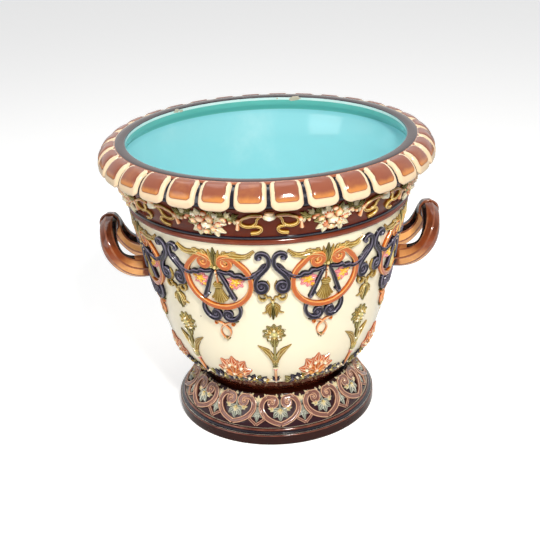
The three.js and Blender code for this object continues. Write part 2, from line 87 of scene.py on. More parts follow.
def area_lamp(name, place, aim, size, power, tint):
    """A square softbox at a place, turned towards the point it lights."""
    bpy.ops.object.light_add(type="AREA", location=place)
    lamp = bpy.context.object
    lamp.name = name
    lamp.data.size = size
    lamp.data.energy = power
    lamp.data.color = tint
    lamp.rotation_mode = "QUATERNION"
    lamp.rotation_quaternion = (Vector(aim) - Vector(place)).to_track_quat("-Z", "Y")


area_lamp("key_softbox", (0.35, -1.4, 1.5), BOWL_MIDDLE, 0.28, 33, (1, 0.98, 0.94))
area_lamp("fill_softbox", (-1.6, -1.1, 1.1), BOWL_MIDDLE, 1.1, 8, (0.96, 0.98, 1))
area_lamp("top_softbox", (-0.2, 0.5, 1.9), RIM_MIDDLE, 1.2, 9, (1, 1, 1))

# %% [markdown]
# ## Nodes that read like formulas
# The world, the floor and all glazes are made of nodes. These helpers make one node each, and
# take a number or another node's output alike, so that a material reads like a formula.


# %% Node helpers
def plug(tree, socket, value):
    """Links a socket to another node's output, or gives it a value."""
    if isinstance(value, bpy.types.NodeSocket):
        tree.links.new(value, socket)
    else:
        socket.default_value = value


def fit(tree, node, **settings):
    """Sets a node up: capital names are its input sockets, the others are the node's own."""
    for name, value in settings.items():
        if name[0].isupper():
            plug(tree, node.inputs[name.replace("_", " ")], value)
        else:
            setattr(node, name, value)
    return node


def add_node(tree, kind, **settings):
    return fit(tree, tree.nodes.new(kind), **settings)


def maths(tree, operation, *values):
    """What a Math node makes of its values."""
    node = add_node(tree, "ShaderNodeMath", operation=operation)
    for socket, value in zip(node.inputs, values):
        plug(tree, socket, value)
    return node.outputs[0]


def ramp(tree, value, low, high, start=0, end=1, shape="SMOOTHSTEP"):
    """A value carried from the range low to high into the range start to end."""
    node = add_node(tree, "ShaderNodeMapRange", interpolation_type=shape, Value=value)
    return fit(tree, node, From_Min=low, From_Max=high, To_Min=start, To_Max=end).outputs[0]


def mix(tree, share, first, second):
    """Two colours mixed. A Mix node has sockets of one name for each data type, so here they
    go by their numbers."""
    node = add_node(tree, "ShaderNodeMix", data_type="RGBA")
    for number, value in ((0, share), (6, first), (7, second)):
        plug(tree, node.inputs[number], value)
    return node.outputs[2]


print("node helpers: plug, fit, add_node, maths, ramp, mix")

# %% [markdown]
# ## World and floor
# The world is a pale backdrop behind the object and a dimmer room behind the camera. The
# camera and the reflections see it at full strength, and as a lamp it counts for less. The
# floor is plain and nearly white, with a faint glow that only the camera sees.

# %% World and floor
WHITE, ROOM_GREY = (1, 1, 1, 1), (0.3, 0.31, 0.34, 1)
FLOOR_GREY, FLOOR_GLOW, WORLD_LIGHT = (0.86, 0.86, 0.85, 1), 0.5, 0.4

world = bpy.data.worlds.new("studio")
scene.world = world
world.use_nodes = True
tree = world.node_tree
direction = add_node(tree, "ShaderNodeTexCoord").outputs["Generated"]
backwards = add_node(tree, "ShaderNodeSeparateXYZ", Vector=direction).outputs["Y"]
studio = mix(tree, ramp(tree, backwards, -0.35, 0.35, shape="LINEAR"), ROOM_GREY, WHITE)
path = add_node(tree, "ShaderNodeLightPath").outputs
seen = maths(tree, "MAXIMUM", path["Is Camera Ray"], path["Is Transmission Ray"])
seen = maths(tree, "MAXIMUM", seen, path["Is Glossy Ray"])
strength = ramp(tree, seen, 0, 1, WORLD_LIGHT, 1, "LINEAR")
fit(tree, tree.nodes["Background"], Color=studio, Strength=strength)

bpy.ops.mesh.primitive_plane_add(size=30)
floor = bpy.context.object
floor.name = "studio_floor"
floor_paint = bpy.data.materials.new("floor_paint")
floor_paint.use_nodes = True
tree = floor_paint.node_tree
seen = add_node(tree, "ShaderNodeLightPath").outputs["Is Camera Ray"]
fit(tree, tree.nodes["Principled BSDF"], Base_Color=FLOOR_GREY, Roughness=0.9, Emission_Color=WHITE,
    Emission_Strength=maths(tree, "MULTIPLY", seen, FLOOR_GLOW))
floor.data.materials.append(floor_paint)
print("world nodes:", len(world.node_tree.nodes), "floor nodes:", len(tree.nodes))

# %% [markdown]
# ## How majolica glaze is coloured
# A coloured lead glaze is a tinted glass. It runs off ridges, where it is thin and pale, and
# pools in hollows, where it lies thick and dark. So each glaze gets three colours, thin, full and
# pooled, and a value called lift that says how high a point lies on its relief. The thin colour
# is also a painted highlight on crowns and edges, and the pooled colour also a painted shade at
# the foot of the relief and in hollows. The group below mixes the three, with a slow mottle so
# that no surface is one flat colour.


# %% The glaze group
def new_sockets(group, way, **sockets):
    """Sockets of a group. Each has the name of its kind or, as a number, its usual value."""
    for name, kind in sockets.items():
        named = isinstance(kind, str)
        kind_name = "NodeSocket" + (kind if named else "Float")
        socket = group.interface.new_socket(name=name, in_out=way, socket_type=kind_name)
        if not named:
            socket.default_value = kind


glaze = bpy.data.node_groups.new("pooled_glaze_and_painted_light", "ShaderNodeTree")
new_sockets(glaze, "INPUT", Thin="Color", Full="Color", Pooled="Color", Lift=0.6, Mottle=0.3, Grain=60)
new_sockets(glaze, "OUTPUT", Color="Color", Roughness="Float", Height="Float")
asked = glaze.nodes.new("NodeGroupInput").outputs
place = add_node(glaze, "ShaderNodeTexCoord").outputs["Object"]
noise = partial(add_node, glaze, "ShaderNodeTexNoise", Vector=place)
cloud = noise(Scale=asked["Grain"], Detail=5, Roughness=0.6).outputs["Fac"]
swing = maths(glaze, "SUBTRACT", cloud, 0.5)
height = maths(glaze, "MULTIPLY_ADD", swing, asked["Mottle"], asked["Lift"])
# Low lift takes the pooled colour, which is pooled glaze and painted shade; high lift takes the thin
# colour, which is thin glaze and painted highlight.
deep_and_shaded = mix(glaze, ramp(glaze, height, 0, 0.36), asked["Pooled"], asked["Full"])
colour = mix(glaze, ramp(glaze, height, 0.48, 1), deep_and_shaded, asked["Thin"])
matt = ramp(glaze, cloud, 0, 1, 0.08, 0.2, "LINEAR")
ripple = noise(Scale=140, Detail=2).outputs["Fac"]
add_node(glaze, "NodeGroupOutput", Color=colour, Roughness=matt, Height=ripple)
print("glaze group nodes:", len(glaze.nodes))

# %% [markdown]
# ## Glazes of this pot
# Each glaze is one material: the group gives its colour, roughness and ripple, and the shader
# with its clear coat stays in the material. On relief the lift is read from an attribute that
# the modelling steps below store in each vertex. The colours are written as on a screen, in
# hexadecimal: thin, full and pooled.


# %% A material for one glaze
def light_of(code):
    """The light values that nodes use, from a colour of six hexadecimal digits."""
    light = []
    for i in (0, 2, 4):
        part = int(code[i:i + 2], 16) / 255
        light.append(part / 12.92 if part <= 0.04045 else ((part + 0.055) / 1.055) ** 2.4)
    return (*light, 1)


def glaze_group(tree, depths, **settings):
    """The glaze group in a material, with the colours of its three depths, whose thin and pooled colours
    also carry painted highlight and painted shade.
    """
    thin, full, pooled = [light_of(code) for code in depths.split()]
    return add_node(tree, "ShaderNodeGroup", node_tree=glaze,
                    Thin=thin, Full=full, Pooled=pooled, **settings)


def glazed(name, depths, mottle=0.35, grain=60, lift=None, bump=0.06, shine=1.0):
    """A glaze in its three depths. lift is one value, or None where the mesh stores its own."""
    material = bpy.data.materials.new(name)
    material.use_nodes = True
    tree = material.node_tree
    if lift is None:
        lift = add_node(tree, "ShaderNodeAttribute", attribute_name="lift").outputs["Fac"]
    made = glaze_group(tree, depths, Mottle=mottle, Grain=grain, Lift=lift).outputs
    ripple = add_node(tree, "ShaderNodeBump", Strength=bump, Distance=0.001, Height=made["Height"])
    fit(tree, tree.nodes["Principled BSDF"], Base_Color=made["Color"], Roughness=made["Roughness"],
        Normal=ripple.outputs["Normal"], Coat_Weight=0.35 * shine, Coat_Roughness=0.04,
        Specular_IOR_Level=0.5 * shine)
    return material


# In each glaze below the thin colour is also a painted highlight, as on the pale edges of the blue-black
# straps, and the pooled colour also a painted shade.
ORANGE = glazed("orange_glaze", "f2ae60 c45c12 742a06", mottle=0.3)
NAVY = glazed("blue_black_glaze", "746e80 1a1624 08070c", mottle=0.3, shine=0.55)
GOLD = glazed("olive_gold_glaze", "ecd68c 947024 261b0a", grain=110)
GILT = glazed("gilt_glaze", "fce28e b07c26 341e0a", grain=110)
OLIVE = glazed("olive_glaze", "cec482 6c5c24 201a0c", grain=110)
PINK = glazed("pink_glaze", "ffd6ce ec7a82 be3c4a", grain=150)
YELLOW = glazed("yellow_glaze", "ffe882 fabe2e d8701a", grain=150)
CORAL = glazed("coral_glaze", "ffe0b6 c25416 682208", grain=150)
PEACH = glazed("peach_glaze", "ffe2b8 e08c50 703016", grain=150)
RUSSET = glazed("russet_glaze", "e89664 a0421c 3c140a", grain=150)
IVORY = glazed("ivory_glaze", "fff8e2 e8d8aa 4a3c26", grain=110)
SAGE = glazed("sage_glaze", "f0eedc 7c8072 1c1c22", grain=110)
COPPER = glazed("copper_glaze", "ecba96 84584c 2e1616", grain=80)
print("glaze nodes in one relief material:", len(ORANGE.node_tree.nodes))

# %% [markdown]
# ## The walls that everything sits on
# The bowl is a straight cone that leans out by 11.8 degrees and closes below on an arc tangent
# to it. The frieze and the stand's slope are cones too. Each function gives the point and the
# outward normal at a height, in millimetres, as the CAD model has them.

# %% Bowl, frieze and slope
# The radius of the mouth, the flat on top of the rim and the thickness of the wall.
MOUTH, FLAT, WALL = 180, 13, 10
SHOULDER_Z, SHOULDER_R, LEAN = 303, 180.6, math.radians(11.8)
ARC_R, ARC_TOP = 155, 147
TOP = 385
FOOT_Z = 63
tangent_r = SHOULDER_R - (SHOULDER_Z - ARC_TOP) * math.tan(LEAN)
arc_centre = (tangent_r - ARC_R * math.cos(LEAN), ARC_TOP + ARC_R * math.sin(LEAN))


def bowl(z, depth=0):
    """Radius, height and normal of the bowl's wall, set back by a depth of clay."""
    arc = ARC_R - depth
    cone_foot = arc_centre[1] - arc * math.sin(LEAN)
    if z >= cone_foot:
        r = arc_centre[0] + arc * math.cos(LEAN) + (z - cone_foot) * math.tan(LEAN)
        return r, z, math.cos(LEAN), -math.sin(LEAN)
    drop = z - arc_centre[1]
    out = math.sqrt(arc * arc - drop * drop)
    return arc_centre[0] + out, z, out / arc, drop / arc


def cone(r0, z0, r1, z1, by_length=False):
    """A straight wall between two points, read by height or by the length along it."""
    length = math.hypot(r1 - r0, z1 - z0)
    nr, nz = (z1 - z0) / length, -(r1 - r0) / length

    def wall(y):
        t = y / length if by_length else (y - z0) / (z1 - z0)
        return r0 + (r1 - r0) * t, z0 + (z1 - z0) * t, nr, nz

    return wall


FLAT_R = MOUTH + FLAT
FRIEZE = (SHOULDER_R + 3.4, 315.5, FLAT_R + 5.5, 353)
frieze = cone(*FRIEZE)
FOOT_R = bowl(FOOT_Z)[0] - 1
RING_R = FOOT_R - 3.4
WELL_R = RING_R + 4.4
STAND_R, STAND_TOP, WELL_Z = 136.6, 57.5, 41
SLOPE = (STAND_R - 6.4 - 2.8, 21.4, WELL_R + 3.5, STAND_TOP - 1.5)
slope = cone(*SLOPE, by_length=True)
print("foot radius", round(FOOT_R, 1), "well radius", round(WELL_R, 1))

# %% [markdown]
# ## Turned pieces
# The potter throws or jiggers these shapes, and the Spin operator does the same: a profile is
# drawn as a chain of edges and carried once round the axis. Round mouldings are arcs, so the
# profile stays short. The faces get their glaze afterwards, by where they lie.


# %% Spinning a profile
MM = 0.001


def only(piece):
    """Makes one piece the active and the only selected one, because operators act on all that is."""
    bpy.ops.object.select_all(action="DESELECT")
    bpy.context.view_layer.objects.active = piece
    piece.select_set(True)


def placed(name, data):
    """A mesh or a curve as an object of the scene, active and selected."""
    piece = bpy.data.objects.new(name, data)
    bpy.context.collection.objects.link(piece)
    only(piece)
    return piece


def mesh_piece(name, verts, edges, faces):
    """A piece from lists of its vertices in metres, its edges and its faces."""
    mesh = bpy.data.meshes.new(name)
    mesh.from_pydata(verts, edges, faces)
    return placed(name, mesh)


def face_outwards():
    """Turns every face of the active piece outwards."""
    bpy.ops.object.mode_set(mode="EDIT")
    bpy.ops.mesh.select_all(action="SELECT")
    bpy.ops.mesh.normals_make_consistent(inside=False)
    bpy.ops.object.mode_set(mode="OBJECT")


def on_ray(x, y, degrees, *distances):
    """Points at some distances from (x, y), all in one direction."""
    angle = math.radians(degrees)
    return [(x + r * math.cos(angle), y + r * math.sin(angle)) for r in distances]


def arc_points(x, y, radius, start, end, count, end_radius=None):
    """Points on an arc round (x, y) between two angles in degrees, or on a spiral to another radius."""
    growth = 0 if end_radius is None else end_radius - radius
    made = []
    for i in range(count + 1):
        t = i / count
        made += on_ray(x, y, start + (end - start) * t, radius + growth * t)
    return made


def round_axis(r, angle, z):
    """The place in metres of a point at a radius and height, an angle round from the front."""
    return r * math.sin(angle) * MM, -r * math.cos(angle) * MM, z * MM


def spun(name, profile, steps=192):
    """A closed turned piece from a profile of (radius, height) that starts and ends on the axis."""
    chain = [(i, i + 1) for i in range(len(profile) - 1)]
    piece = mesh_piece(name, [(r * MM, 0, z * MM) for r, z in profile], chain, [])
    bpy.ops.object.mode_set(mode="EDIT")
    bpy.ops.mesh.select_all(action="SELECT")
    bpy.ops.mesh.spin(steps=steps, angle=math.tau, center=(0, 0, 0), axis=(0, 0, 1))
    bpy.ops.mesh.select_all(action="SELECT")
    bpy.ops.mesh.remove_doubles(threshold=1e-6)
    bpy.ops.object.mode_set(mode="OBJECT")
    face_outwards()
    bpy.ops.object.shade_smooth_by_angle(angle=math.radians(38))
    print(name, "faces:", len(piece.data.polygons))
    return piece


def paint_by_place(piece, glazes, choose):
    """Gives each face the glaze that choose(radius, height, outward, upward) says, in millimetres."""
    for paint in glazes:
        piece.data.materials.append(paint)
    for face in piece.data.polygons:
        middle = face.center / MM
        radius = math.hypot(middle.x, middle.y)
        outward = (face.normal.x * middle.x + face.normal.y * middle.y) / radius
        face.material_index = glazes.index(choose(radius, middle.z, outward, face.normal.z))


# %% The pot's profile
under = FOOT_Z + 2
ring_in = RING_R - 13
profile = [(0, under), (ring_in - 3, under - 2), (ring_in, WELL_Z + 2), (ring_in + 1.5, WELL_Z + 0.5)]
profile += [(FOOT_R - 5, WELL_Z + 0.5), (FOOT_R - 3.6, WELL_Z + 2), (RING_R, WELL_Z + 6)]
profile += [(FOOT_R - 2.6, FOOT_Z - 3), (FOOT_R, FOOT_Z)]
profile += [bowl(64 + (ARC_TOP - 64) * (i / 22) ** 1.3)[:2] for i in range(23)]
profile += [bowl(z)[:2] for z in (170, 195, 220, 245, 270, 292, 302)]
profile += arc_points(SHOULDER_R - 0.2, 307.2, 4.2, -80, 80, 9)
profile += [(SHOULDER_R + 4.4, 311.9), (SHOULDER_R + 4.9, 312.5), (SHOULDER_R + 4.9, 314)]
profile += [(SHOULDER_R + 4.4, 314.6), (SHOULDER_R + 3.2, 315), (FRIEZE[0] + 0.4, 318.5)]
profile += [frieze(z)[:2] for z in (322, 330, 340, 350)] + [(FRIEZE[2], 353.6)]
profile += [(FLAT_R + 3.2, 354.2), (FLAT_R + 3.2, TOP - 3.4), (FLAT_R + 1.6, TOP - 0.9), (FLAT_R, TOP)]
profile += [(FLAT_R - 5, TOP), (MOUTH + 1.6, TOP), (MOUTH + 0.4, TOP - 0.4), (MOUTH, TOP - 1.4)]
profile += [(MOUTH, TOP - 5), (MOUTH, TOP - 11), (MOUTH + 0.8, TOP - 13), (MOUTH + 4.6, TOP - 17.6)]
profile += [(MOUTH + 5.5, TOP - 20), (MOUTH + 4.8, TOP - 27), (bowl(346, WALL)[0], 346)]
profile += [bowl(z, WALL)[:2] for z in (325, 300, 270, 240, 210, 180, 160)]
profile += [bowl(149 - 66 * (i / 14) ** 0.8, WALL)[:2] for i in range(15)]
profile += [(bowl(83, WALL)[0] - 4, 79.4), (bowl(83, WALL)[0] - 12, 78), (50, 78), (0, 78)]
pot = spun("jardiniere_pot", profile)

# %% [markdown]
# ## Glaze by zones
# The turner's brush puts a different glaze on each zone. Seen from the outside upwards: dark
# brown foot, cream bowl, brown roll, blue-black fillet, near-black frieze and brown rim. The
# inside is turquoise, with a darker teal band of painted shade under the lip, and the parts that
# stand on the kiln shelf stay bare clay.

# %% Zone glazes
CREAM = glazed("cream_glaze", "fff8e0 fff3d4 eacc92", mottle=0.3, grain=22, lift=0.62)
FOOT_BROWN = glazed("foot_brown_glaze", "8c482a 522012 140808", mottle=0.3, grain=20, lift=0.42, shine=0.7)
ROLL_BROWN = glazed("roll_brown_glaze", "be6c42 743018 2c100a", mottle=0.5, grain=40, lift=0.55, shine=0.7)
FILLET_NAVY = glazed("fillet_glaze", "565268 161422 08070d", grain=40, lift=0.4)
GROUND = glazed("frieze_ground_glaze", "ac481c 62220a 140705", mottle=1.0, grain=20, lift=0.42, shine=0.3)
RIM_BROWN = glazed("rim_brown_glaze", "965438 321612 10090c", mottle=0.5, grain=44, lift=0.38, shine=0.5)
# The rim's rounded outer edge is glazed paler.
RIM_EDGE = glazed("rim_edge_glaze", "d68c5c 965030 421e14", mottle=0.9, grain=70, lift=0.6)
LIP = glazed("pale_lip_glaze", "ecf8f2 c8eee8 78ccce", mottle=0.4, grain=50, lift=0.75)
# A darker teal band of painted shade in the undercut under the lip.
THROAT_SHADE = glazed("teal_painted_shade", "b0e4d6 6cc2b6 308a86", mottle=0.6, grain=14, lift=0.45)
TURQUOISE = glazed("turquoise_glaze", "e0fafa 98dce2 42a8b8", mottle=0.75, grain=9, lift=0.5)
CLAY = glazed("bare_clay", "e4d6c0 ccbca4 9e8a70", mottle=0.6, grain=60, lift=0.6, bump=0.5)
AUBERGINE = glazed("aubergine_glaze", "703e3e 34181e 12080e", mottle=0.5, grain=40, lift=0.4, shine=0.6)
# A thin copper line of painted highlight along the tops of the stand's outer bead and torus.
COPPER_HIGHLIGHT = glazed("bead_copper_highlight", "ba7050 602c1e 240f0d", mottle=0.7, grain=60, lift=0.6)
BAND_BROWN = glazed("band_brown_glaze", "783c28 32140f 0f0709", mottle=0.6, grain=40, lift=0.38, shine=0.35)


def pot_zone(r, z, outward, upward):
    """The glaze of a face of the pot, from where it lies and which way it looks."""
    if (r < ring_in + 2 and z < under + 1) or (z < 43 and r < FOOT_R):
        return CLAY
    if r < FOOT_R + 0.5 and z < FOOT_Z + 1:
        return FOOT_BROWN
    if z > TOP - 3.4 and r > FLAT_R - 1.5:
        return RIM_EDGE
    if z > TOP - 0.3:
        return RIM_BROWN if r > MOUTH + 3 else FILLET_NAVY
    if z > TOP - 2.2 and r < MOUTH + 2:
        return FILLET_NAVY
    # Inside: pale lip, then a band of painted shade in darker teal, then turquoise.
    if z > 70 and (outward < -0.2 or upward > 0.8 and z < 90):
        return LIP if z > TOP - 5 else THROAT_SHADE if z > TOP - 19 else TURQUOISE
    for top, paint in ((88, FOOT_BROWN), (303, CREAM), (311.6, ROLL_BROWN), (315.3, FILLET_NAVY)):
        if z < top:
            return paint
    return GROUND


POT_GLAZES = [CREAM, FOOT_BROWN, ROLL_BROWN, FILLET_NAVY, GROUND, RIM_BROWN, RIM_EDGE]
POT_GLAZES += [LIP, THROAT_SHADE, TURQUOISE, CLAY]
paint_by_place(pot, POT_GLAZES, pot_zone)
print("glazes on the pot:", len(pot.data.materials))

# %% [markdown]
# ## Chips in the glaze
# The rim's inner edge has lost a few flakes of glaze, which show the pale clay, and one dark
# speck sits on the cream wall. Each is a thin flake laid on the wall with a jagged outline,
# because a flake keeps a sharp edge where a painted mask would blur. They are joined to the pot.


# %% Chips
def joined(pieces, name):
    """All the pieces as one object, keeping their materials and attributes."""
    only(pieces[0])
    for piece in pieces:
        piece.select_set(True)
    bpy.ops.object.join()
    pieces[0].name = pieces[0].data.name = name
    return pieces[0]


def glaze_chip(azimuth, z, radius, width, height, paint, outwards):
    """An irregular flake 0.3 mm proud of the wall, whose back lies inside the clay."""
    turn = math.radians(azimuth)
    verts, faces = [], []
    for share, depth in ((0, -1), (1, -0.4), (0.8, 0.25), (0, 0.3)):
        for k in range(10 if share else 1):
            angle = 2 * math.pi * k / 10
            jag = share * (1 + 0.22 * math.sin(3.7 * k + azimuth) + 0.12 * math.sin(7.1 * k))
            across, up = width / 2 * jag * math.cos(angle), height / 2 * jag * math.sin(angle)
            reach = radius + outwards * depth
            verts.append([value * MM for value in (
                reach * math.sin(turn) + across * math.cos(turn),
                -reach * math.cos(turn) + across * math.sin(turn), z + up)])
    for k in range(10):
        n = (k + 1) % 10
        faces += [(0, 1 + n, 1 + k), (1 + k, 1 + n, 11 + n, 11 + k), (11 + k, 11 + n, 21)]
    chip = mesh_piece("glaze_chip", verts, [], faces)
    chip.data.materials.append(paint)
    face_outwards()
    return chip


# Each flake on the lip: degrees round from the front, depth below the top, width and height.
LIP_CHIPS = ((-137, 2.6, 13, 5), (-139.5, 4, 8, 4), (165.5, 3, 20, 6), (167, 5, 12, 4), (174, 3, 3.4, 2.4))
SPECK_TURN, SPECK_Z, SPECK_SIZE = -35.2, 189.4, 1.8
chips = [glaze_chip(turn, TOP - drop, MOUTH, wide, tall, CLAY, -1)
         for turn, drop, wide, tall in LIP_CHIPS]
chips.append(glaze_chip(SPECK_TURN, SPECK_Z, bowl(SPECK_Z)[0], SPECK_SIZE, SPECK_SIZE, GROUND, 1))
pot = joined([pot] + chips, "pot_turned")
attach(pot, "jardiniere")
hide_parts("jardiniere_body")
print("chips:", len(chips))

# %% [markdown]
# ## The stand
# The stand is turned too: a plain band with a bead, a dark channel, a brown torus, the slope
# that carries the hearts and a bead round the well; the outer bead and the torus carry a thin
# painted copper highlight on top. It is hollow below, as a jiggered foot is, and has a plate
# under the well.

# %% The stand's profile
stand_profile = [(0, WELL_Z - 10), (WELL_R - 4, WELL_Z - 10), (WELL_R + 1, WELL_Z - 12), (STAND_R - 20, 3)]
stand_profile += [(STAND_R - 17.5, 0.4), (STAND_R - 16.5, 0), (STAND_R - 1.5, 0), (STAND_R - 0.3, 0.6)]
stand_profile += [(STAND_R, 2), (STAND_R, 7), (STAND_R - 0.2, 10.6)]
stand_profile += arc_points(STAND_R - 1.9, 12.9, 1.9, 10, 100, 6) + [(STAND_R - 3.4, 15)]
stand_profile += [(STAND_R - 4.4, 15.4), (STAND_R - 5.4, 16.2)]
stand_profile += arc_points(STAND_R - 8.2, 18, 2.9, -22, 118, 9)
stand_profile += [slope(y)[:2] for y in (1, 8, 16, 24, 32, 39)]
stand_profile += [(WELL_R + 4.2, STAND_TOP - 2)]
stand_profile += arc_points(WELL_R + 2, STAND_TOP - 1.9, 1.9, 20, 170, 8)
stand_profile += [(WELL_R, STAND_TOP - 4), (WELL_R, WELL_Z + 2.4), (WELL_R - 0.8, WELL_Z + 0.7),
                  (WELL_R - 2.4, WELL_Z)]
stand_profile += [(50, WELL_Z), (0, WELL_Z)]
stand = spun("stand_turned", stand_profile)


def stand_zone(r, z, outward, upward):
    """The glaze of a face of the stand."""
    if upward < -0.5 or (outward < 0 and z < WELL_Z - 3):
        return CLAY
    if r < WELL_R - 1 and z < WELL_Z + 1 or z < 12.6:
        return BAND_BROWN
    # A painted copper highlight on the top of the outer bead, and below on the top of the torus.
    if z < 14.3 and r > STAND_R - 3:
        return COPPER_HIGHLIGHT
    if z < 16.9 and r > STAND_R - 6:
        return FILLET_NAVY
    if z < 21 and r > SLOPE[0] - 1:
        return COPPER_HIGHLIGHT if 18.6 < z < 20.4 else BAND_BROWN
    return BAND_BROWN if z > STAND_TOP - 2.3 else AUBERGINE


paint_by_place(stand, [CLAY, BAND_BROWN, COPPER_HIGHLIGHT, FILLET_NAVY, AUBERGINE], stand_zone)
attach(stand, "stand")
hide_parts("stand")
print("glazes on the stand:", len(stand.data.materials))

# %% [markdown]
# ## Lappets
# The rim is hung with 32 tongues, each pressed with a raised cushion that is glazed brown in a
# cream border. One tongue is a grid that is shaped by formula: flat coordinates across and down
# the tongue give the place on the rim's profile, and how far the surface stands up there.

# %% One tongue
RIM_LINE = [(193.4, 384.7), (198, 384.5), (204, 382), (210, 377), (214.6, 370), (216.9, 363)]
RIM_LINE += [(216.3, 358.2), (212.6, 355.4), (205, 354.6), (198, 354.5)]
LAPPETS = 32
TONGUE_END = 39
# Half width, half height and corner radius of the cushion, and how far down its middle lies.
CUSHION, CUSHION_MIDDLE = (13.2, 14.6, 4.6), 15.4
ACROSS, DOWN = 26, 34


def along(line, distance):
    """The point and the outward normal at a distance along a line of (radius, height)."""
    for (r0, z0), (r1, z1) in zip(line, line[1:]):
        length = math.hypot(r1 - r0, z1 - z0)
        if distance <= length or (r1, z1) == line[-1]:
            t = distance / length
            return r0 + (r1 - r0) * t, z0 + (z1 - z0) * t, (z0 - z1) / length, (r1 - r0) / length
        distance -= length


def smooth_line(line, rounds=2):
    """The line with its corners cut twice, so that a coarse profile turns into a curve."""
    for _ in range(rounds):
        cut = [line[0]]
        for (r0, z0), (r1, z1) in zip(line, line[1:]):
            cut.append((0.75 * r0 + 0.25 * r1, 0.75 * z0 + 0.25 * z1))
            cut.append((0.25 * r0 + 0.75 * r1, 0.25 * z0 + 0.75 * z1))
        line = cut + [line[-1]]
    return line


def smoothstep(low, high, value):
    """How far a value is from low (0) to high (1), with a soft start and end."""
    t = min(max((value - low) / (high - low), 0), 1)
    return t * t * (3 - 2 * t)


def quarter_round(share):
    """How far a quarter circle has dropped at a share of its radius."""
    return 1 - math.sqrt(max(1 - min(max(share, 0), 1) ** 2, 0))


def rounded_box(x, y, half_x, half_y, corner):
    """Distance to a rectangle with round corners, negative inside."""
    qx, qy = abs(x) - half_x + corner, abs(y) - half_y + corner
    return math.hypot(max(qx, 0), max(qy, 0)) + min(max(qx, qy), 0) - corner


rim_line = smooth_line(RIM_LINE)
bpy.ops.mesh.primitive_grid_add(x_subdivisions=ACROSS, y_subdivisions=DOWN, size=2)
tongue = bpy.context.object
tongue.name = "lappet_tongue"
flat_place = tongue.data.attributes.new("flat_place", "FLOAT_VECTOR", "POINT")
for vertex, flat in zip(tongue.data.vertices, flat_place.data):
    u, v = vertex.co.x, (1 - vertex.co.y) / 2
    u = math.copysign(1 - (1 - abs(u)) ** 1.25, u)
    down = TONGUE_END * 1.1 * v
    half_width = 18.9 - 0.02 * down - 6.5 * quarter_round((down - 31) / 10)
    x = u * half_width
    rim_r, rim_z, nr, nz = along(rim_line, down)
    border = rounded_box(x, down - CUSHION_MIDDLE, *CUSHION)
    lift = 0.9 * smoothstep(0.9, -2.4, border) + 0.7 * smoothstep(3.2, -15, border)
    lift -= 5.2 * quarter_round(1 - (half_width - abs(x)) / 4.2)
    lift -= 0.55 * math.exp(-((border - 0.5) / 0.9) ** 2)
    lift = min(lift, 0.35 + 1.1 * smoothstep(1, 12, down))
    flat.vector = (x * MM, down * MM, 0)
    vertex.co = round_axis(rim_r + nr * lift, x / 205, rim_z + nz * lift)
print("one tongue has", len(tongue.data.vertices), "vertices")

# %% [markdown]
# ## Where the brush went on a tongue
# The cushion's edge is a rounded rectangle drawn in the tongue's own flat coordinates, so the
# colour changes on a clean line, as it does where glaze stops at a moulded edge. A slow noise
# moves the line a little, as a brush does.

# %% The cushion's outline in nodes
outline = bpy.data.node_groups.new("cushion_outline", "ShaderNodeTree")
new_sockets(outline, "INPUT", Place="Vector")
new_sockets(outline, "OUTPUT", Distance="Float", Down="Float")
calc = partial(maths, outline)
asked = outline.nodes.new("NodeGroupInput").outputs
place = add_node(outline, "ShaderNodeTexCoord").outputs["Object"]
wave = add_node(outline, "ShaderNodeTexNoise", Vector=place, Scale=150, Detail=1).outputs["Fac"]
flat = add_node(outline, "ShaderNodeSeparateXYZ", Vector=asked["Place"]).outputs
half_x, half_y, corner = [size * MM for size in CUSHION]
side = calc("ADD", calc("ABSOLUTE", flat["X"]), calc("MULTIPLY_ADD", wave, 0.0018, -0.0009))
drop = calc("ABSOLUTE", calc("ADD", flat["Y"], -CUSHION_MIDDLE * MM))
qx = calc("ADD", side, corner - half_x)
qy = calc("ADD", drop, corner - half_y)
outer_x, outer_y = calc("MAXIMUM", qx, 0), calc("MAXIMUM", qy, 0)
squares = calc("MULTIPLY_ADD", outer_y, outer_y, calc("POWER", outer_x, 2))
nearest = calc("MINIMUM", calc("MAXIMUM", qx, qy), 0)
distance = calc("ADD", calc("SUBTRACT", calc("SQRT", squares), corner), nearest)
add_node(outline, "NodeGroupOutput", Distance=distance, Down=flat["Y"])
print("outline group nodes:", len(outline.nodes))

# %% The lappet glaze
LAPPET = glazed("lappet_glaze", "f8e2c2 eccea8 bc8c66", mottle=0.3, grain=50, lift=0.6, shine=0.6)
tree = LAPPET.node_tree
cream = next(node for node in tree.nodes if node.type == "GROUP")
stored = add_node(tree, "ShaderNodeAttribute", attribute_name="flat_place").outputs["Vector"]
drawn = add_node(tree, "ShaderNodeGroup", node_tree=outline, Place=stored).outputs
edge = drawn["Distance"]
# Along the cushion's edge both glazes pool darker and the lower bulge of the cushion turns pale amber:
# pooled and thin glaze, and with them painted shade along the edge and painted highlight on the bulge.
at_edge = ramp(tree, edge, -0.0001, -0.0012, 0.05, 0.5)
brown_lift = maths(tree, "ADD", at_edge, ramp(tree, drawn["Down"], 0.02, 0.029, 0, 0.4))
brown = glaze_group(tree, "d68c4a 94543e 3e2a2c", Mottle=0.7, Grain=40, Lift=brown_lift)
fit(tree, cream, Lift=ramp(tree, edge, 0.0004, 0.0016, 0.3, 0.66))
inside = ramp(tree, edge, 0.0002, -0.0002)
two_glazes = mix(tree, inside, cream.outputs["Color"], brown.outputs["Color"])
fit(tree, tree.nodes["Principled BSDF"], Base_Color=two_glazes)
tongue.data.materials.append(LAPPET)
print("lappet glaze nodes:", len(tree.nodes))

# %% [markdown]
# ## The band of lappets
# The tongue is copied 32 times round the rim and joined to a dark ring that closes the darts
# between the tongues, so the band is one piece of clay.


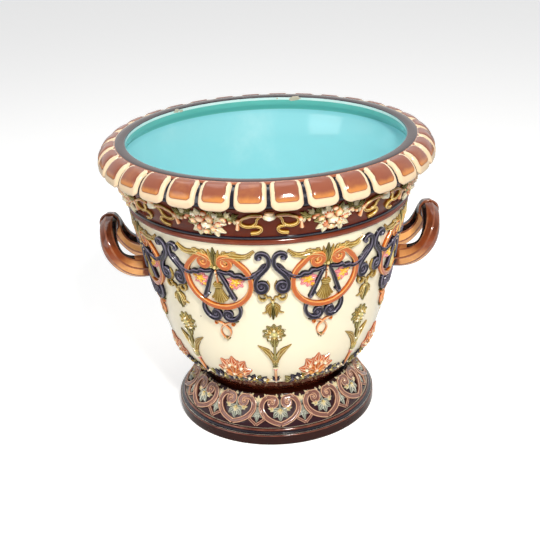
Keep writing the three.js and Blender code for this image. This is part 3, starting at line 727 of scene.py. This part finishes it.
# %% Copies round the rim
def turned_copy(source, name, degrees):
    """A copy with its own mesh, turned about the pot's axis."""
    piece = placed(name, source.data.copy())
    piece.data.name = name
    piece.data.transform(Matrix.Rotation(math.radians(degrees), 4, "Z"))
    return piece


BACKING = 3.6
hidden = [along(rim_line, 3 + 1.5 * i) for i in range(25)]
ring_line = [(FLAT_R + BACKING, 356), (FLAT_R + BACKING, TOP - 2)]
ring_line += [(r - nr * BACKING, z - nz * BACKING) for r, z, nr, nz in hidden] + ring_line[:1]
dart_ring = spun("dart_ring", ring_line, 128)
dart_ring.data.materials.append(FILLET_NAVY)
tongues = [turned_copy(tongue, "tongue", 360 * (i + 0.5) / LAPPETS) for i in range(LAPPETS)]
bpy.data.objects.remove(tongue)
lappets = joined([dart_ring] + tongues, "lappet_band")
bpy.ops.object.shade_smooth_by_angle(angle=math.radians(50))
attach(lappets, "jardiniere")
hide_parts("lappet_rim")
print("lappet band faces:", len(lappets.data.polygons))

# %% [markdown]
# ## Handles
# Each loop was pulled or pressed as an eight-sided bar and luted on at two thick roots, with a
# bead round the middle of the grip. Half of the loop is a Bezier curve from a root out to the
# grip, the other half is its mirror image, and the bar's thickness changes from point to point.

# %% The loop's line
HANDLE_FOOT, SPREAD, REACH, RISE = 219, 28, 212, 51
ROOT, NECK, GRIP = 29, 21, 22.5
STEPS = 34
foot_out = math.sqrt(bowl(HANDLE_FOOT)[0] ** 2 - SPREAD ** 2)
leg = [(foot_out, -SPREAD, HANDLE_FOOT), (foot_out + 52, -44, HANDLE_FOOT - 3)]
leg += [(REACH, -50, HANDLE_FOOT + RISE), (REACH, 0, HANDLE_FOOT + RISE)]


def bezier(points, t):
    """A point on the cubic curve of four control points."""
    shares = ((1 - t) ** 3, 3 * t * (1 - t) ** 2, 3 * t * t * (1 - t), t ** 3)
    return Vector([sum(share * point[axis] for share, point in zip(shares, points))
                   for axis in range(3)])


def bar_size(t):
    """Thickness of the bar from its root (0) over the leg to the grip (1)."""
    return ROOT + (NECK - ROOT) * smoothstep(0, 0.42, t) + (GRIP - NECK) * smoothstep(0.5, 1, t)


half = [(Vector((foot_out - 10, -SPREAD + 2, HANDLE_FOOT)), ROOT + 1)]
half += [(bezier(leg, i / STEPS), bar_size(i / STEPS)) for i in range(STEPS - 1)]
half += [(Vector((REACH, 0, HANDLE_FOOT + RISE)), GRIP)]
loop_line = half + [(Vector((p.x, -p.y, p.z)), size) for p, size in reversed(half[:-1])]
print("points along a handle:", len(loop_line))

# %% [markdown]
# ## The bar and its facets
# An octagon is carried along the line, square to it. The photograph shows the upper facet and
# the chamfer beside the hole nearly black, and the edges between the facets paler, so the
# facets choose their glaze by the way they look, and the edges are bevelled in a glaze of their
# own.


# %% The eight-sided bar
def set_lift(piece, shares):
    """Stores how thin the glaze is at each vertex, 0 where it pools and 1 on a crown; the same value sets
    painted shade low and painted highlight high.
    """
    stored = piece.data.attributes.new("lift", "FLOAT", "POINT")
    stored.data.foreach_set("value", shares)


plane = Vector((-RISE, 0, REACH - bowl(HANDLE_FOOT)[0])).normalized()
loop_middle = Vector((REACH - 26, 0, HANDLE_FOOT + RISE * 0.5))
corners = []
for i, (point, size) in enumerate(loop_line):
    ahead, behind = loop_line[min(i + 1, len(loop_line) - 1)][0], loop_line[max(i - 1, 0)][0]
    direction = (ahead - behind).normalized()
    side = direction.cross(plane).normalized()
    rise = side.cross(direction).normalized()
    radius = size / 2 / math.cos(math.pi / 8)
    for k in range(8):
        angle = math.pi / 4 * (k + 0.5)
        corners.append((point + side * radius * math.cos(angle) + rise * radius * math.sin(angle)) * MM)
last = 8 * len(loop_line) - 8
facets = [(i + k, i + (k + 1) % 8, i + 8 + (k + 1) % 8, i + 8 + k)
          for i in range(0, last, 8) for k in range(8)]
facets += [tuple(range(8)), tuple(reversed(range(last, last + 8)))]
bar = mesh_piece("handle_bar", corners, [], facets)
face_outwards()
print("facets:", len(bar.data.polygons))

# %% Handle glazes, pale edges and the bead
HANDLE = glazed("handle_glaze", "f6b26c 8c4422 2e140e", mottle=0.5, grain=30, shine=0.7)
HANDLE_DARK = glazed("handle_dark_glaze", "60382c 1e100f 0b0709", mottle=0.4, grain=30, lift=0.4, shine=0.5)
HANDLE_EDGE = glazed("handle_edge_glaze", "e2a06e 8c4e32 422016", mottle=0.8, grain=60, lift=0.55)
BEAD_ROUND, BEAD_THICK = 12.2, 1.5

for paint in (HANDLE, HANDLE_DARK, HANDLE_EDGE):
    bar.data.materials.append(paint)
for face in bar.data.polygons:
    into_hole = (loop_middle - face.center / MM).normalized().dot(face.normal)
    upward = face.normal.dot(plane)
    face.material_index = 1 if upward > 0.85 or (upward > 0.5 and into_hole > 0.3) else 0
rounding = bar.modifiers.new("rounded_edges", "BEVEL")
rounding.width = 1.3 * MM
rounding.segments = 3
rounding.limit_method = "ANGLE"
rounding.angle_limit = math.radians(32)
rounding.material = 2
bpy.ops.object.modifier_apply(modifier="rounded_edges")
bpy.ops.object.shade_smooth_by_angle(angle=math.radians(60))

# The bar's lift is low at the roots and rises on the lower legs and on the faces towards the hole: thin and
# pooled glaze, and with them painted highlight on those parts and painted shade at the roots.
shares = []
for vertex in bar.data.vertices:
    spot = vertex.co / MM
    off_root = smoothstep(foot_out + 4, foot_out + 6.5, spot.x)
    below = smoothstep(HANDLE_FOOT + RISE * 0.85, HANDLE_FOOT - 4, spot.z)
    inmost = smoothstep(0.6, 0.95, (loop_middle - spot).normalized().dot(vertex.normal))
    shares.append(0.1 + off_root * (0.1 + 0.66 * below + 0.6 * inmost))
set_lift(bar, shares)
bpy.ops.mesh.primitive_torus_add(
    major_segments=48, minor_segments=10, major_radius=BEAD_ROUND * MM, minor_radius=BEAD_THICK * MM,
    location=(REACH * MM, 0, (HANDLE_FOOT + RISE) * MM), rotation=(math.radians(90), 0, 0))
bead = bpy.context.object
bead.data.materials.append(HANDLE_EDGE)
bpy.ops.object.transform_apply(location=True, rotation=True, scale=True)
bpy.ops.object.shade_smooth()
bar = joined([bar, bead], "handle_bar")
for side, degrees in (("right", 0), ("left", 180)):
    loop = turned_copy(bar, "handle_loop_" + side, degrees)
    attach(loop, "jardiniere")
    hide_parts("handle_" + side)
bpy.data.objects.remove(bar)
print("handle faces:", len(loop.data.polygons))

# %% [markdown]
# ## Relief: drawn flat, then laid on the wall
# The moulder carves the ornament flat, presses it in clay and lays it on the pot. The steps
# here are the same. Each strap, stem and leaf is a curve that carries a section, and each fruit
# or knob is a flattened ball. The drawing is in millimetres, x across, y up and z out of the
# wall. When a motif is whole it is bent onto the wall and copied round the pot.
#
# A section has its edges below zero, so that it is sunk a little into the wall and leaves no
# slit. Straps are hollowed between two raised edges, leaves have a midrib.

# %% Sections of the strands
SUNK = -0.5
EDGE = (0.5, -1, 0)
# Each point is (across, height, lift): the lift says how pale the thin glaze and the painted highlight are
# there, and how dark the painted shade.
HALF_SECTIONS = {
    "round": [EDGE, (0.48, 0.3, 0.1), (0.38, 0.68, 0.45), (0.2, 0.93, 0.7), (0, 1, 0.8)],
    "strap": [EDGE, (0.49, 0.5, 0.35), (0.43, 0.88, 1), (0.34, 1, 0.95), (0.24, 0.9, 0.45), (0.1, 0.8, 0.3),
              (0, 0.78, 0.3)],
    "hoop": [EDGE, (0.49, 0.5, 0.35), (0.43, 0.84, 1), (0.35, 0.95, 0.85), (0.26, 0.94, 0.4),
             (0.12, 0.98, 0.45), (0, 1, 0.5)],
    "heart": [EDGE, (0.49, 0.5, 0.3), (0.43, 0.9, 0.95), (0.34, 0.95, 0.95), (0.27, 0.7, 0.5),
              (0.12, 0.62, 0.5), (0, 0.66, 0.5)],
    "leaf": [EDGE, (0.49, 0.22, 0.15), (0.37, 0.66, 0.9), (0.24, 0.52, 0.4), (0.1, 0.62, 0.35), (0, 1, 1)],
    "cord": [EDGE, (0.42, 0.6, 0.4), (0, 1, 0.85)],
}
SECTIONS, section_curves = {}, {}
for name, half_section in HALF_SECTIONS.items():
    SECTIONS[name] = [(-x, y, tone) for x, y, tone in half_section] + half_section[-2::-1]
    curve = bpy.data.curves.new("section_" + name, "CURVE")
    curve.dimensions = "2D"
    spline = curve.splines.new("POLY")
    spline.points.add(len(SECTIONS[name]) - 1)
    for point, (x, y, tone) in zip(spline.points, SECTIONS[name]):
        point.co = (x, max(y, -0.1), 0, 1)
    spline.use_cyclic_u = True
    section_curves[name] = placed("section_" + name, curve)
print("sections:", ", ".join(SECTIONS))

# %% [markdown]
# ## Strands, knobs and what is made of them
# A helper for each kind of form puts it on the bench, a list called parts. A strand is a curve
# with a section, a knob is a flattened ball, and rosettes and fans are made of strands.
# Every form knows its lift, so that its glaze runs thin on the crown and pools at its foot, with painted
# highlight on the crown and painted shade at the foot.


# %% The relief kit
parts = []
LOBE_DEPTH = 0.2
# The relief repeats in 8 bays round the pot, and every other motif stands half a bay further on.
BAYS, HALF_BAY = 8, 22.5


def band(points, width, height, paint, kind="strap", radii=(1, 1), base=0.0, steps=4):
    """A strand through flat points (x, y). radii scale its width from point to point."""
    curve = bpy.data.curves.new("strand", "CURVE")
    curve.dimensions = "3D"
    curve.twist_mode = "Z_UP"
    curve.bevel_mode = "OBJECT"
    curve.bevel_object = section_curves[kind]
    curve.use_fill_caps = True
    curve.resolution_u = steps
    spline = curve.splines.new("BEZIER")
    spline.bezier_points.add(len(points) - 1)
    for i, (point, (x, y)) in enumerate(zip(spline.bezier_points, points)):
        at = i / (len(points) - 1) * (len(radii) - 1)
        low = min(int(at), len(radii) - 2)
        point.co = (x, y, 0)
        point.radius = width * (radii[low] + (radii[low + 1] - radii[low]) * (at - low))
        point.handle_left_type = point.handle_right_type = "AUTO"
    placed("strand", curve)
    bpy.ops.object.convert(target="MESH")
    piece = bpy.context.object
    section = SECTIONS[kind]
    for i, vertex in enumerate(piece.data.vertices):
        share = section[i % len(section)][1]
        narrowed = vertex.co.z / (share * width)
        vertex.co.z = SUNK if share < 0 else base + share * height * math.sqrt(max(narrowed, 0))
    set_lift(piece, [section[i % len(section)][2] for i in range(len(piece.data.vertices))])
    piece.data.materials.append(paint)
    parts.append(piece)


def both(points, *sizes):
    """A strand and its mirror image on the other side of the motif."""
    band(points, *sizes)
    band([(-x, y) for x, y in points], *sizes)


def knob(x, y, rx, ry, height, paint, base=0.0, lobes=0, turn=0.0):
    """A flattened ball, with lobes round its edge for a fruit, a flower or a bloom."""
    bpy.ops.mesh.primitive_uv_sphere_add(segments=14, ring_count=9, radius=1)
    piece = bpy.context.object
    shares = []
    for vertex in piece.data.vertices:
        out = math.hypot(vertex.co.x, vertex.co.y)
        angle = math.atan2(vertex.co.y, vertex.co.x) + turn
        swell = 1 + LOBE_DEPTH * math.cos(lobes * angle) * out ** 2 if lobes else 1
        rise = vertex.co.z
        vertex.co.x = x + vertex.co.x * rx * swell
        vertex.co.y = y + vertex.co.y * ry * swell
        groove = 1 - 0.35 * out * (1 - swell) / LOBE_DEPTH
        vertex.co.z = base + rise * height * min(groove, 1.1) if rise > 0 else SUNK
        # The top of a ball gets the highest lift: thin glaze and painted highlight there.
        shares.append(max(rise, 0) * (0.5 + 0.5 * min(swell, 1)))
    set_lift(piece, shares)
    piece.data.materials.append(paint)
    parts.append(piece)


def both_knobs(x, y, *sizes):
    knob(x, y, *sizes)
    knob(-x, y, *sizes)


def rosette(x, y, count, inner, outer, width, height, paint, first=90, base=0.0):
    """Petals that radiate from a point."""
    for i in range(count):
        petal = on_ray(x, y, first + 360 * i / count, inner, (inner + outer) / 2, outer)
        band(petal, width, height, paint, "leaf", [0.6, 1, 0.25], base, 2)


def fan(x, y, towards, spread, count, length, width, height, paint, base=0.0, waist=0.5):
    """Leaf lobes that spring from one point, the middle one longest."""
    for i in range(count):
        share = 2 * i / (count - 1) - 1
        reach = length * (1 - 0.3 * share * share)
        lobe = on_ray(x, y, towards + spread * share, 0, waist * reach, reach)
        band(lobe, width, height, paint, "leaf", [0.7, 1, 0.15], base, 3)


def lay_on(name, wall, start, girth):
    """Joins what is on the bench and bends it onto a wall: y from a start, x along a circle of
    the radius girth."""
    piece = joined(parts, name)
    parts.clear()
    for vertex in piece.data.vertices:
        x, y, z = vertex.co
        r, height, nr, nz = wall(start + y)
        vertex.co = round_axis(r + nr * z, x / girth, height + nz * z)
    face_outwards()
    bpy.ops.object.shade_smooth_by_angle(angle=math.radians(52))
    return piece


def set_out(piece, node, count, offset, body):
    """Copies a motif round the object, one for each CAD node that it stands for."""
    print(piece.name, "faces:", len(piece.data.polygons), "copies:", count)
    for i in range(count):
        place = turned_copy(piece, f"{piece.name}_{i + 1:02d}", offset + 360 * i / count)
        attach(place, body)
        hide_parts(f"{node}_{i + 1:02d}")
    bpy.data.objects.remove(piece)


print("strands have", len(SECTIONS), "sections, each sunk", -SUNK, "mm into the wall")

# %% [markdown]
# ## Roundels
# An orange strap makes a ring whose ends roll up into two volutes. Blue-black bars and arms
# cross it, a gilt tassel hangs in it, blossoms fill it, acanthus wings lie on it, and below it
# hang two scrolls and a loop of ribbon.

# %% Roundel
HALF_W, HALF_H = 42, 37.5
angles = [math.radians(15 * i) for i in range(10)]
ring = [(HALF_W * math.sin(angle), -HALF_H * math.cos(angle)) for angle in angles]
ring += [(24, 32.5), (17, 36.3)] + arc_points(13.7, 27.6, 8.8, 75, 635, 13, 2.2)
both(ring, 7, 4.4, ORANGE, "hoop", [1] * 9 + [0.84, 0.7, 0.55, 0.45])
both_knobs(13.7, 27.6, 2.4, 2.4, 4.2, ORANGE)
bar = [(4, 15.5), (14, 13.4), (19, 14.2), (22, 11.2), (30, 11), (33, 8.5), (40, 9.5), (49, 13.5)]
both(bar, 5.2, 5.4, NAVY, "strap", [0.75, 0.8, 1.15, 0.9, 1.1, 0.85, 1, 0.9])
arm = [(2.5, 16), (8, 5), (14, -10), (19, -22)]
both(arm, 5.4, 5, NAVY, "strap", [0.6, 0.85, 1, 1.1])
both_knobs(19.4, -23.4, 3.4, 3.4, 5.2, NAVY)
both([(16.2, -18), (12.8, -20.5)], 3.6, 4, NAVY, "cord")
for x, y, size in ((23, 1, 1), (29, 5, 0.5), (17.5, -6, 0.45)):
    for side in (-1, 1):
        rosette(side * x, y, 7, 2.5 * size, 11.4 * size, 8 * size, 2.6, PINK, first=12)
        rosette(side * x, y, 5, 0.5, 7 * size, 4.4 * size, 3.4, YELLOW, first=60, base=0.4)
        knob(side * x, y, 1.8 * size, 1.8 * size, 4, YELLOW)
knob(0, 13.5, 2, 2.6, 4.8, PEACH)
knob(0, 8.6, 1.6, 2.2, 4.4, PEACH)
band([(0, 6), (0, -1)], 2.6, 4, PEACH, "cord", [0.6, 1])
for y, wide in ((-2, 4.2), (-4.6, 6), (-7, 5.4)):
    band([(-wide, y), (0, y - 0.6), (wide, y)], 2.6, 4.6, GOLD, "cord", [0.8, 1.1, 0.8])
for i in range(-3, 4):
    spread = [(0.8 * i, -7), (1.9 * i, -18), (3.4 * i, -31 + 0.62 * i * i)]
    band(spread, 4, 4.4 - 0.2 * abs(i), GOLD, "leaf", [0.6, 0.85, 1.15])
knob(0, 20.5, 3, 3.4, 5.4, GOLD)
both_knobs(4.2, 20.5, 1.8, 1.8, 4.6, OLIVE)
for reach, lean, wide in ((25, 0, 8), (22, 5.5, 6.4), (17, 10, 5.4)):
    husk = [(lean * 0.35, 22), (lean * 0.8, 22 + reach * 0.55), (lean * 1.15, 22 + reach)]
    both(husk, wide, 4.6, GOLD if lean else OLIVE, "leaf", [0.7, 1, 0.2])
wing = [(3, 29), (10, 34.5), (20, 37.5), (30, 36.5), (38, 37.5), (48, 45)]
both(wing, 9, 5, GOLD, "leaf", [0.7, 1, 1.1, 0.9, 0.7, 0.4])
for x, y, dx, dy in ((10, 36, 4.5, 6.4), (19, 38.6, 7, 3.4), (12, 32, 8, -3), (22, 35.4, 9, -2.6),
                     (33, 36.5, 9, 0.4)):
    tuft = [(x, y), (x + 0.6 * dx, y + 0.8 * dy), (x + dx * 1.2, y + dy)]
    both(tuft, 5.4, 4.4, OLIVE if dy < 0 else GOLD, "leaf", [0.9, 1, 0.25], 0, 2)
lower = [(22.4, -31), (25, -37), (24.8, -44), (21, -51), (14.5, -55), (8, -55)]
lower += arc_points(8.8, -48.4, 6.4, -110, -610, 12, 1.8)[1:]
both(lower, 5.4, 4.8, NAVY, "strap", [0.85, 1.05, 1.1, 1, 0.85, 0.7, 0.6, 0.5])
both_knobs(8.8, -48.4, 2, 2, 4.2, NAVY)
both([(9, -56), (14, -59), (20.5, -58.6)], 4, 3.4, OLIVE, "leaf", [1, 0.9, 0.3])
both([(5, -57), (8.5, -58.5), (12, -57.4)], 3, 3.4, GOLD, "leaf", [0.6, 1, 0.4])
both([(13.5, -59)] + arc_points(12.6, -63, 3.1, 70, 490, 9, 1), 2.6, 3.4, ORANGE, "cord", [1, 0.8, 0.6])
loop = [(11, -60.5), (4.5, -62.5), (-1.5, -66.5), (-6.8, -73), (-6.2, -80), (-0.6, -86.5)]
both(loop, 2.7, 3.4, PEACH, "round", [0.9, 1, 1, 1, 0.9, 0.8])
both([(0, -84), (3.4, -86), (5.2, -84.6)], 3, 3, OLIVE, "leaf", [0.8, 1, 0.3], 0, 2)
band([(0, -83), (0, -90)], 3.4, 3.4, OLIVE, "leaf", [1, 0.3])
roundel = lay_on("roundel_relief", bowl, start=250, girth=170)
set_out(roundel, "roundel", BAYS, HALF_BAY, "jardiniere")

# %% [markdown]
# ## Strapwork pairs
# Between two roundels stand two blue-black scrolls, back to back, that take up the ends of the
# bars. Gilt curls hang from them and carry a bell flower.

# %% Strapwork pair
hook = [(14, 34.6), (16.4, 38), (13.2, 42), (8, 41.8), (4, 37.4), (2.9, 31), (4, 25), (8.6, 18.6),
        (14.4, 12), (18.8, 4), (19.4, -4)]
hook += arc_points(12.4, -4, 7.6, -10, -530, 13, 2)[1:]
both(hook, 5.9, 4.8, NAVY, "strap", [0.85, 0.85, 0.95, 1, 0.95, 1.1, 1.1, 1, 0.8, 0.6, 0.5])
both_knobs(12.6, -4, 2.2, 2.2, 4.2, NAVY)
both_knobs(13.6, 35.4, 3.4, 3, 4.6, NAVY)
both([(6.5, 27.5), (10.5, 24.6), (15.5, 19.2)], 3.4, 4, NAVY, "leaf", [0.6, 1, 0.5])
both([(9, 22), (14.5, 18), (18.4, 14.4), (22, 12.6)], 4.2, 5, NAVY, "strap", [0.6, 0.8, 1, 1])
both([(5.4, 3), (3.4, -4), (5.6, -11), (11, -15.6), (17.5, -14.6), (22.4, -10.6)], 3, 3.2, GOLD,
     "leaf", [0.5, 0.9, 1, 1, 0.7, 0.3])
gilt = [(16, -15), (17, -20), (13.4, -24.2), (8.6, -23), (8, -18.8), (11, -17.6)]
both(gilt, 3.8, 4.2, GOLD, "round", [0.7, 1, 1, 0.9, 0.7])
both([(8.6, -23), (4, -20.4), (1.6, -25.5)], 3.2, 3.6, GOLD, "round", [0.7, 1, 0.9])
knob(0, -27, 2.4, 3, 4.4, GOLD)
knob(0, -31, 3, 2, 4.2, OLIVE)
for lean, reach, wide in ((0, 24, 6), (4.4, 20, 6.2), (7, 13, 5)):
    petal = [(lean * 0.3, -30), (lean * 1.05, -30 - reach * 0.5), (lean * 0.85, -30 - reach)]
    both(petal, wide, 4.6, GOLD if lean else OLIVE, "leaf", [0.6, 1.1, 0.35])
both([(5, -38), (9, -43), (14, -44.4)], 3.4, 3.4, GOLD, "leaf", [1, 0.8, 0.25])
strapwork = lay_on("strap_relief", bowl, start=250, girth=170)
set_out(strapwork, "strap_pair", BAYS, 0, "jardiniere")

# %% [markdown]
# ## Garlands of the frieze
# Under the lappets hang swags of fruit, vine leaves and small flowers. Between two swags a cream
# cabochon holds a pair of gilt ribbons, which fold twice on their way down.


# %% Garland
FRIEZE_GIRTH = 191
CABOCHON = math.pi * FRIEZE_GIRTH / BAYS
for x, y, towards, length, paint in (
    (-9, -8, -128, 15, IVORY), (11, -7, -52, 17, IVORY), (-14, 1, 172, 13, OLIVE),
    (15, 2, 8, 14, IVORY), (0, 9, 90, 10, OLIVE), (-8, 8, 128, 13, IVORY), (9, 8, 55, 13, OLIVE),
    (1, -10, -95, 10, OLIVE),
):
    fan(x * 0.8, y * 0.8, towards, 66, 4, length, 8, 3.6, paint, waist=0.6)
for x, y, wide, tall, height, paint, lobes in (
    (-6, 5.4, 6.6, 5.6, 5.6, CORAL, 0), (6, 6, 5.4, 6.4, 5.4, PEACH, 5),
    (-15, 1.6, 5, 4.2, 4.6, PEACH, 4), (15.5, -1, 5.4, 4.4, 5, CORAL, 5),
    (0.5, -3, 7.4, 5, 6.2, IVORY, 6), (-9, -7.5, 4.4, 5, 4.8, RUSSET, 0),
    (8.6, -8, 4.6, 4, 4.8, PEACH, 5), (-1.4, -12, 5.6, 4.4, 5, PEACH, 6),
    (-21, 8, 4.2, 3.4, 4, RUSSET, 0), (22, 7, 4.2, 3.4, 4, CORAL, 4),
    (0.4, 13, 4.4, 3.6, 4.6, CORAL, 0), (13.5, 10.8, 4.4, 3.4, 4.4, IVORY, 4),
    (-13.5, 11, 4.2, 3.4, 4.4, IVORY, 5),
):
    knob(x, y, wide, tall, height, paint, lobes=lobes, turn=x)
    if lobes:
        knob(x + 0.4, y, wide * 0.3, tall * 0.34, height + 0.8, RUSSET if paint is IVORY else YELLOW)
swag = [(16, 11), (26, 10), (36, 6.5), (43, -1)]
both(swag, 5, 3.8, OLIVE, "leaf", [1, 0.9, 0.7, 0.4])
for x, y, towards, paint in ((25, 11, 35, IVORY), (28, 8, -35, OLIVE), (33, 9.5, 25, OLIVE),
                             (35, 5, -50, IVORY), (22, 13, 150, OLIVE)):
    fan(x, y, towards, 34, 3, 9, 3.4, 3.6, paint)
    fan(-x, y, 180 - towards, 34, 3, 9, 3.4, 3.6, paint)
for x, y, size, paint in ((24, 5, 2.8, CORAL), (30, 3, 2.4, PEACH), (39.5, 4.5, 3, PEACH)):
    both_knobs(x, y, size, size, 4.6, paint)
both([(39, 5), (38.4, -1), (37.6, -6.5)], 5.4, 4.4, PEACH, "round", [0.45, 0.8, 1.1])
both([(41, 6), (50, 10.6), (61, 12), (68, 11)], 3.2, 3.4, CORAL, "round", [0.7, 1, 1, 0.8])
knob(CABOCHON, 9.5, 8, 4.8, 4.8, IVORY)
knob(CABOCHON, 8.8, 5.4, 2.8, 6, IVORY)
knob(CABOCHON, 14.4, 6, 3, 3.6, PEACH)
ribbon = [(8, 2.4), (16, 3.4), (25, 1), (32, -3.6), (32.4, -9), (26, -12.6), (16, -12),
          (9.4, -15.6), (12.6, -20.6), (22, -22.6)]
for side in (-1, 1):
    line = [(CABOCHON + side * x, 9.5 + y) for x, y in ribbon]
    band(line, 3.4, 3.2, GILT, "strap", [0.8, 1, 0.85, 1, 0.8, 1, 1])
    fork = [(CABOCHON + side * x, 9.5 + y) for x, y in ((10, 2), (14, -2.6), (15.4, -8), (21, -12.6))]
    band(fork, 3, 3, GILT, "strap", [0.9, 1, 0.9])
garland = lay_on("garland_relief", frieze, start=334, girth=FRIEZE_GIRTH)
set_out(garland, "garland", BAYS, HALF_BAY, "jardiniere")

# %% [markdown]
# ## Flower sprays and palmettes
# Upright flowers stand below the strapwork, each with a round head of petals and two long
# leaves. Between them coral palmettes fan out, and a fringe of small leaves closes the bowl
# above its brown foot. A fan of overlapping lobes is laid in three layers, each shorter and
# higher than the one below, as a modeller lays petals.

# %% Spray
rosette(0, 36, 10, 4, 14.4, 8, 3.4, OLIVE, first=90)
rosette(0, 36, 10, 3, 11, 6.4, 4.4, GOLD, first=72, base=0.5)
knob(0, 36.5, 7, 6.6, 5.6, OLIVE)
knob(0, 37.5, 2.4, 2.3, 6.6, GILT)
for i in range(6):
    angle = math.radians(60 * i)
    knob(5.4 * math.sin(angle), 36.8 + 5.2 * math.cos(angle), 1.9, 1.8, 6, GILT if i % 2 else IVORY)
both_knobs(5.6, 29.4, 2.4, 2.5, 5.2, IVORY)
both_knobs(5.6, 29.4, 1, 1.1, 5.8, OLIVE)
band([(0, 28), (0, 22), (0, 16)], 11, 4.2, OLIVE, "leaf", [0.6, 1, 0.7])
both([(0, 17), (3, 24), (9, 28)], 3.6, 4, OLIVE, "leaf", [0.8, 1, 0.4])
band([(0, 18), (0, 4), (0, -10)], 3.6, 3.2, OLIVE, "round")
blade = [(0.6, -12), (3.4, -3), (9.5, 8), (20.8, 17.4)]
both(blade, 8.6, 4.2, GOLD, "leaf", [0.5, 0.9, 1, 0.12])
both([(1, -6), (4, 3), (6.4, 11)], 3.6, 4.4, IVORY, "leaf", [0.6, 0.8, 0.2])
for y, wide, paint in ((-3, 10, OLIVE), (-9, 14, GOLD), (-14, 11, OLIVE)):
    fan(0, y + 4, -90, 46, 5, wide * 0.66, 3.6, 4.4, paint, 0.4)
band([(-3.6, -18.6), (0, -19.2), (3.6, -18.6)], 2.8, 4, IVORY, "round", [0.7, 1, 0.7])
band([(-2.8, -21.4), (0, -21.8), (2.8, -21.4)], 2.2, 3.6, PINK, "round", [0.7, 1, 0.7])
band([(0, -20), (0, -34), (0, -46)], 4.2, 3.2, PEACH, "round", [0.9, 1, 0.9])
fan(0, -44, 90, 78, 5, 9, 3.4, 3.4, NAVY)
both_knobs(6.5, -43, 1.6, 1.4, 3.4, IVORY)
knob(0, -47, 2.4, 2, 3.6, IVORY)
spray = lay_on("spray_relief", bowl, start=138, girth=148)
set_out(spray, "flower_spray", BAYS, 0, "jardiniere")

# %% Palmette
fan(0, -9, 90, 106, 7, 31, 14.5, 3.4, CORAL, waist=0.7)
fan(0, -8, 90, 92, 6, 25, 11.5, 4.2, CORAL, 0.3, waist=0.72)
fan(0, -8, 90, 96, 5, 17, 10.4, 5.2, ORANGE, 0.4, waist=0.7)
for i in range(6):
    [(x, y)] = on_ray(0, -8, 90 + 29 * (i - 2.5), 17 - 0.6 * abs(i - 2.5))
    knob(x, y, 3, 2.4, 5.6, IVORY if i % 2 else PEACH)
both_knobs(8, -7, 4, 3, 5.6, ORANGE)
knob(0, -6, 5, 3.8, 6.2, CORAL, lobes=5)
knob(0, -5, 2, 1.8, 6.8, IVORY)
for i in range(-5, 6):
    x = 7.6 * i
    y = -15.4 - 0.0012 * x * x
    paint = (NAVY, OLIVE, NAVY)[i % 3]
    fan(x, y - 3, 90 - 8 * i, 66, 3, 14 - 0.7 * abs(i), 7.4, 4, paint, waist=0.6)
    fan(x + 3.8, y - 1, -90 + 4 * i, 60, 3, 9, 5.6, 3.6, (OLIVE, NAVY, GILT)[i % 3])
    knob(x + 3.8, y + 1.6, 2.6, 2.1, 5, (GILT, NAVY, IVORY)[i % 3], lobes=4)
palmette = lay_on("palmette_relief", bowl, start=112, girth=148)
set_out(palmette, "palmette", BAYS, HALF_BAY, "jardiniere")

# %% [markdown]
# ## Hearts of the stand
# Twelve heart-shaped straps cover the slope of the stand. Each ends in two volutes and frames
# a grey-green palmette. Small outlined diamonds stand in the gaps between the hearts.

# %% Heart
HEARTS, HEART_TURN = 12, 1.8
GIRTH_RADIUS = 114
heart = [(0, 3.4), (10, 7.4), (19.4, 14.6), (24.6, 24.6), (22.4, 34.4), (16, 39)]
heart += arc_points(10.2, 32.4, 6.6, 68, 628, 13, 1.8)
both(heart, 7.8, 3.9, COPPER, "heart", [0.9, 1, 1, 1, 0.78, 0.62, 0.5, 0.4])
both_knobs(10.2, 32.4, 1.9, 1.9, 3.8, COPPER)
fan(0, 23, -90, 80, 5, 15, 8, 3.6, SAGE, waist=0.66)
fan(0, 22, -90, 60, 3, 8, 4, 4.4, IVORY, 0.2)
knob(0, 22.4, 2.8, 2.6, 4.4, GOLD)
band([(0, 23), (0, 30), (0, 36)], 3.4, 3.2, SAGE, "leaf", [1, 0.9, 0.5])
for side in (-1, 1):
    fan(side * 8.6, 23.6, 90 - side * 80, 44, 3, 7.6, 4.4, 4, IVORY)
    knob(side * 10.6, 24, 2.2, 2, 4.4, GOLD)
    fan(side * 18, 39, 90 - side * 40, 60, 3, 6.4, 4, 3.6, IVORY)
    fan(side * 4, 39.6, 90, 50, 3, 4.4, 3, 3.2, IVORY)
PITCH_HALF = math.pi * GIRTH_RADIUS / HEARTS
kite = [(PITCH_HALF - 3, 24), (PITCH_HALF - 9.6, 10.4), (PITCH_HALF, 2.4), (PITCH_HALF + 9.6, 10.4),
        (PITCH_HALF + 3, 24)]
for start, end in zip(kite, kite[1:]):
    middle = ((start[0] + end[0]) / 2, (start[1] + end[1]) / 2)
    band([start, middle, end], 3.6, 2.8, COPPER, "heart", base=0.1, steps=1)
fan(PITCH_HALF, 18, -90, 50, 3, 12, 6, 2.6, SAGE)
band([(PITCH_HALF, 14), (PITCH_HALF, 26)], 6, 2.6, SAGE, "leaf", [1, 0.5])
fan(PITCH_HALF, 33, 90, 84, 5, 8.4, 4.4, 3.6, IVORY)
fan(PITCH_HALF, 34, -90, 60, 3, 7, 4.4, 3.4, SAGE)
heart = lay_on("heart_relief", slope, start=0, girth=GIRTH_RADIUS)
set_out(heart, "stand_heart", HEARTS, HEART_TURN, "stand")

# %% [markdown]
# ## Clearing the bench
# The section curves were only tools, as a modeller's ribs and knives are, so they leave the scene.

# %% Clear the drawing aids
for section in section_curves.values():
    bpy.data.objects.remove(section)
print("section curves removed:", len(section_curves))
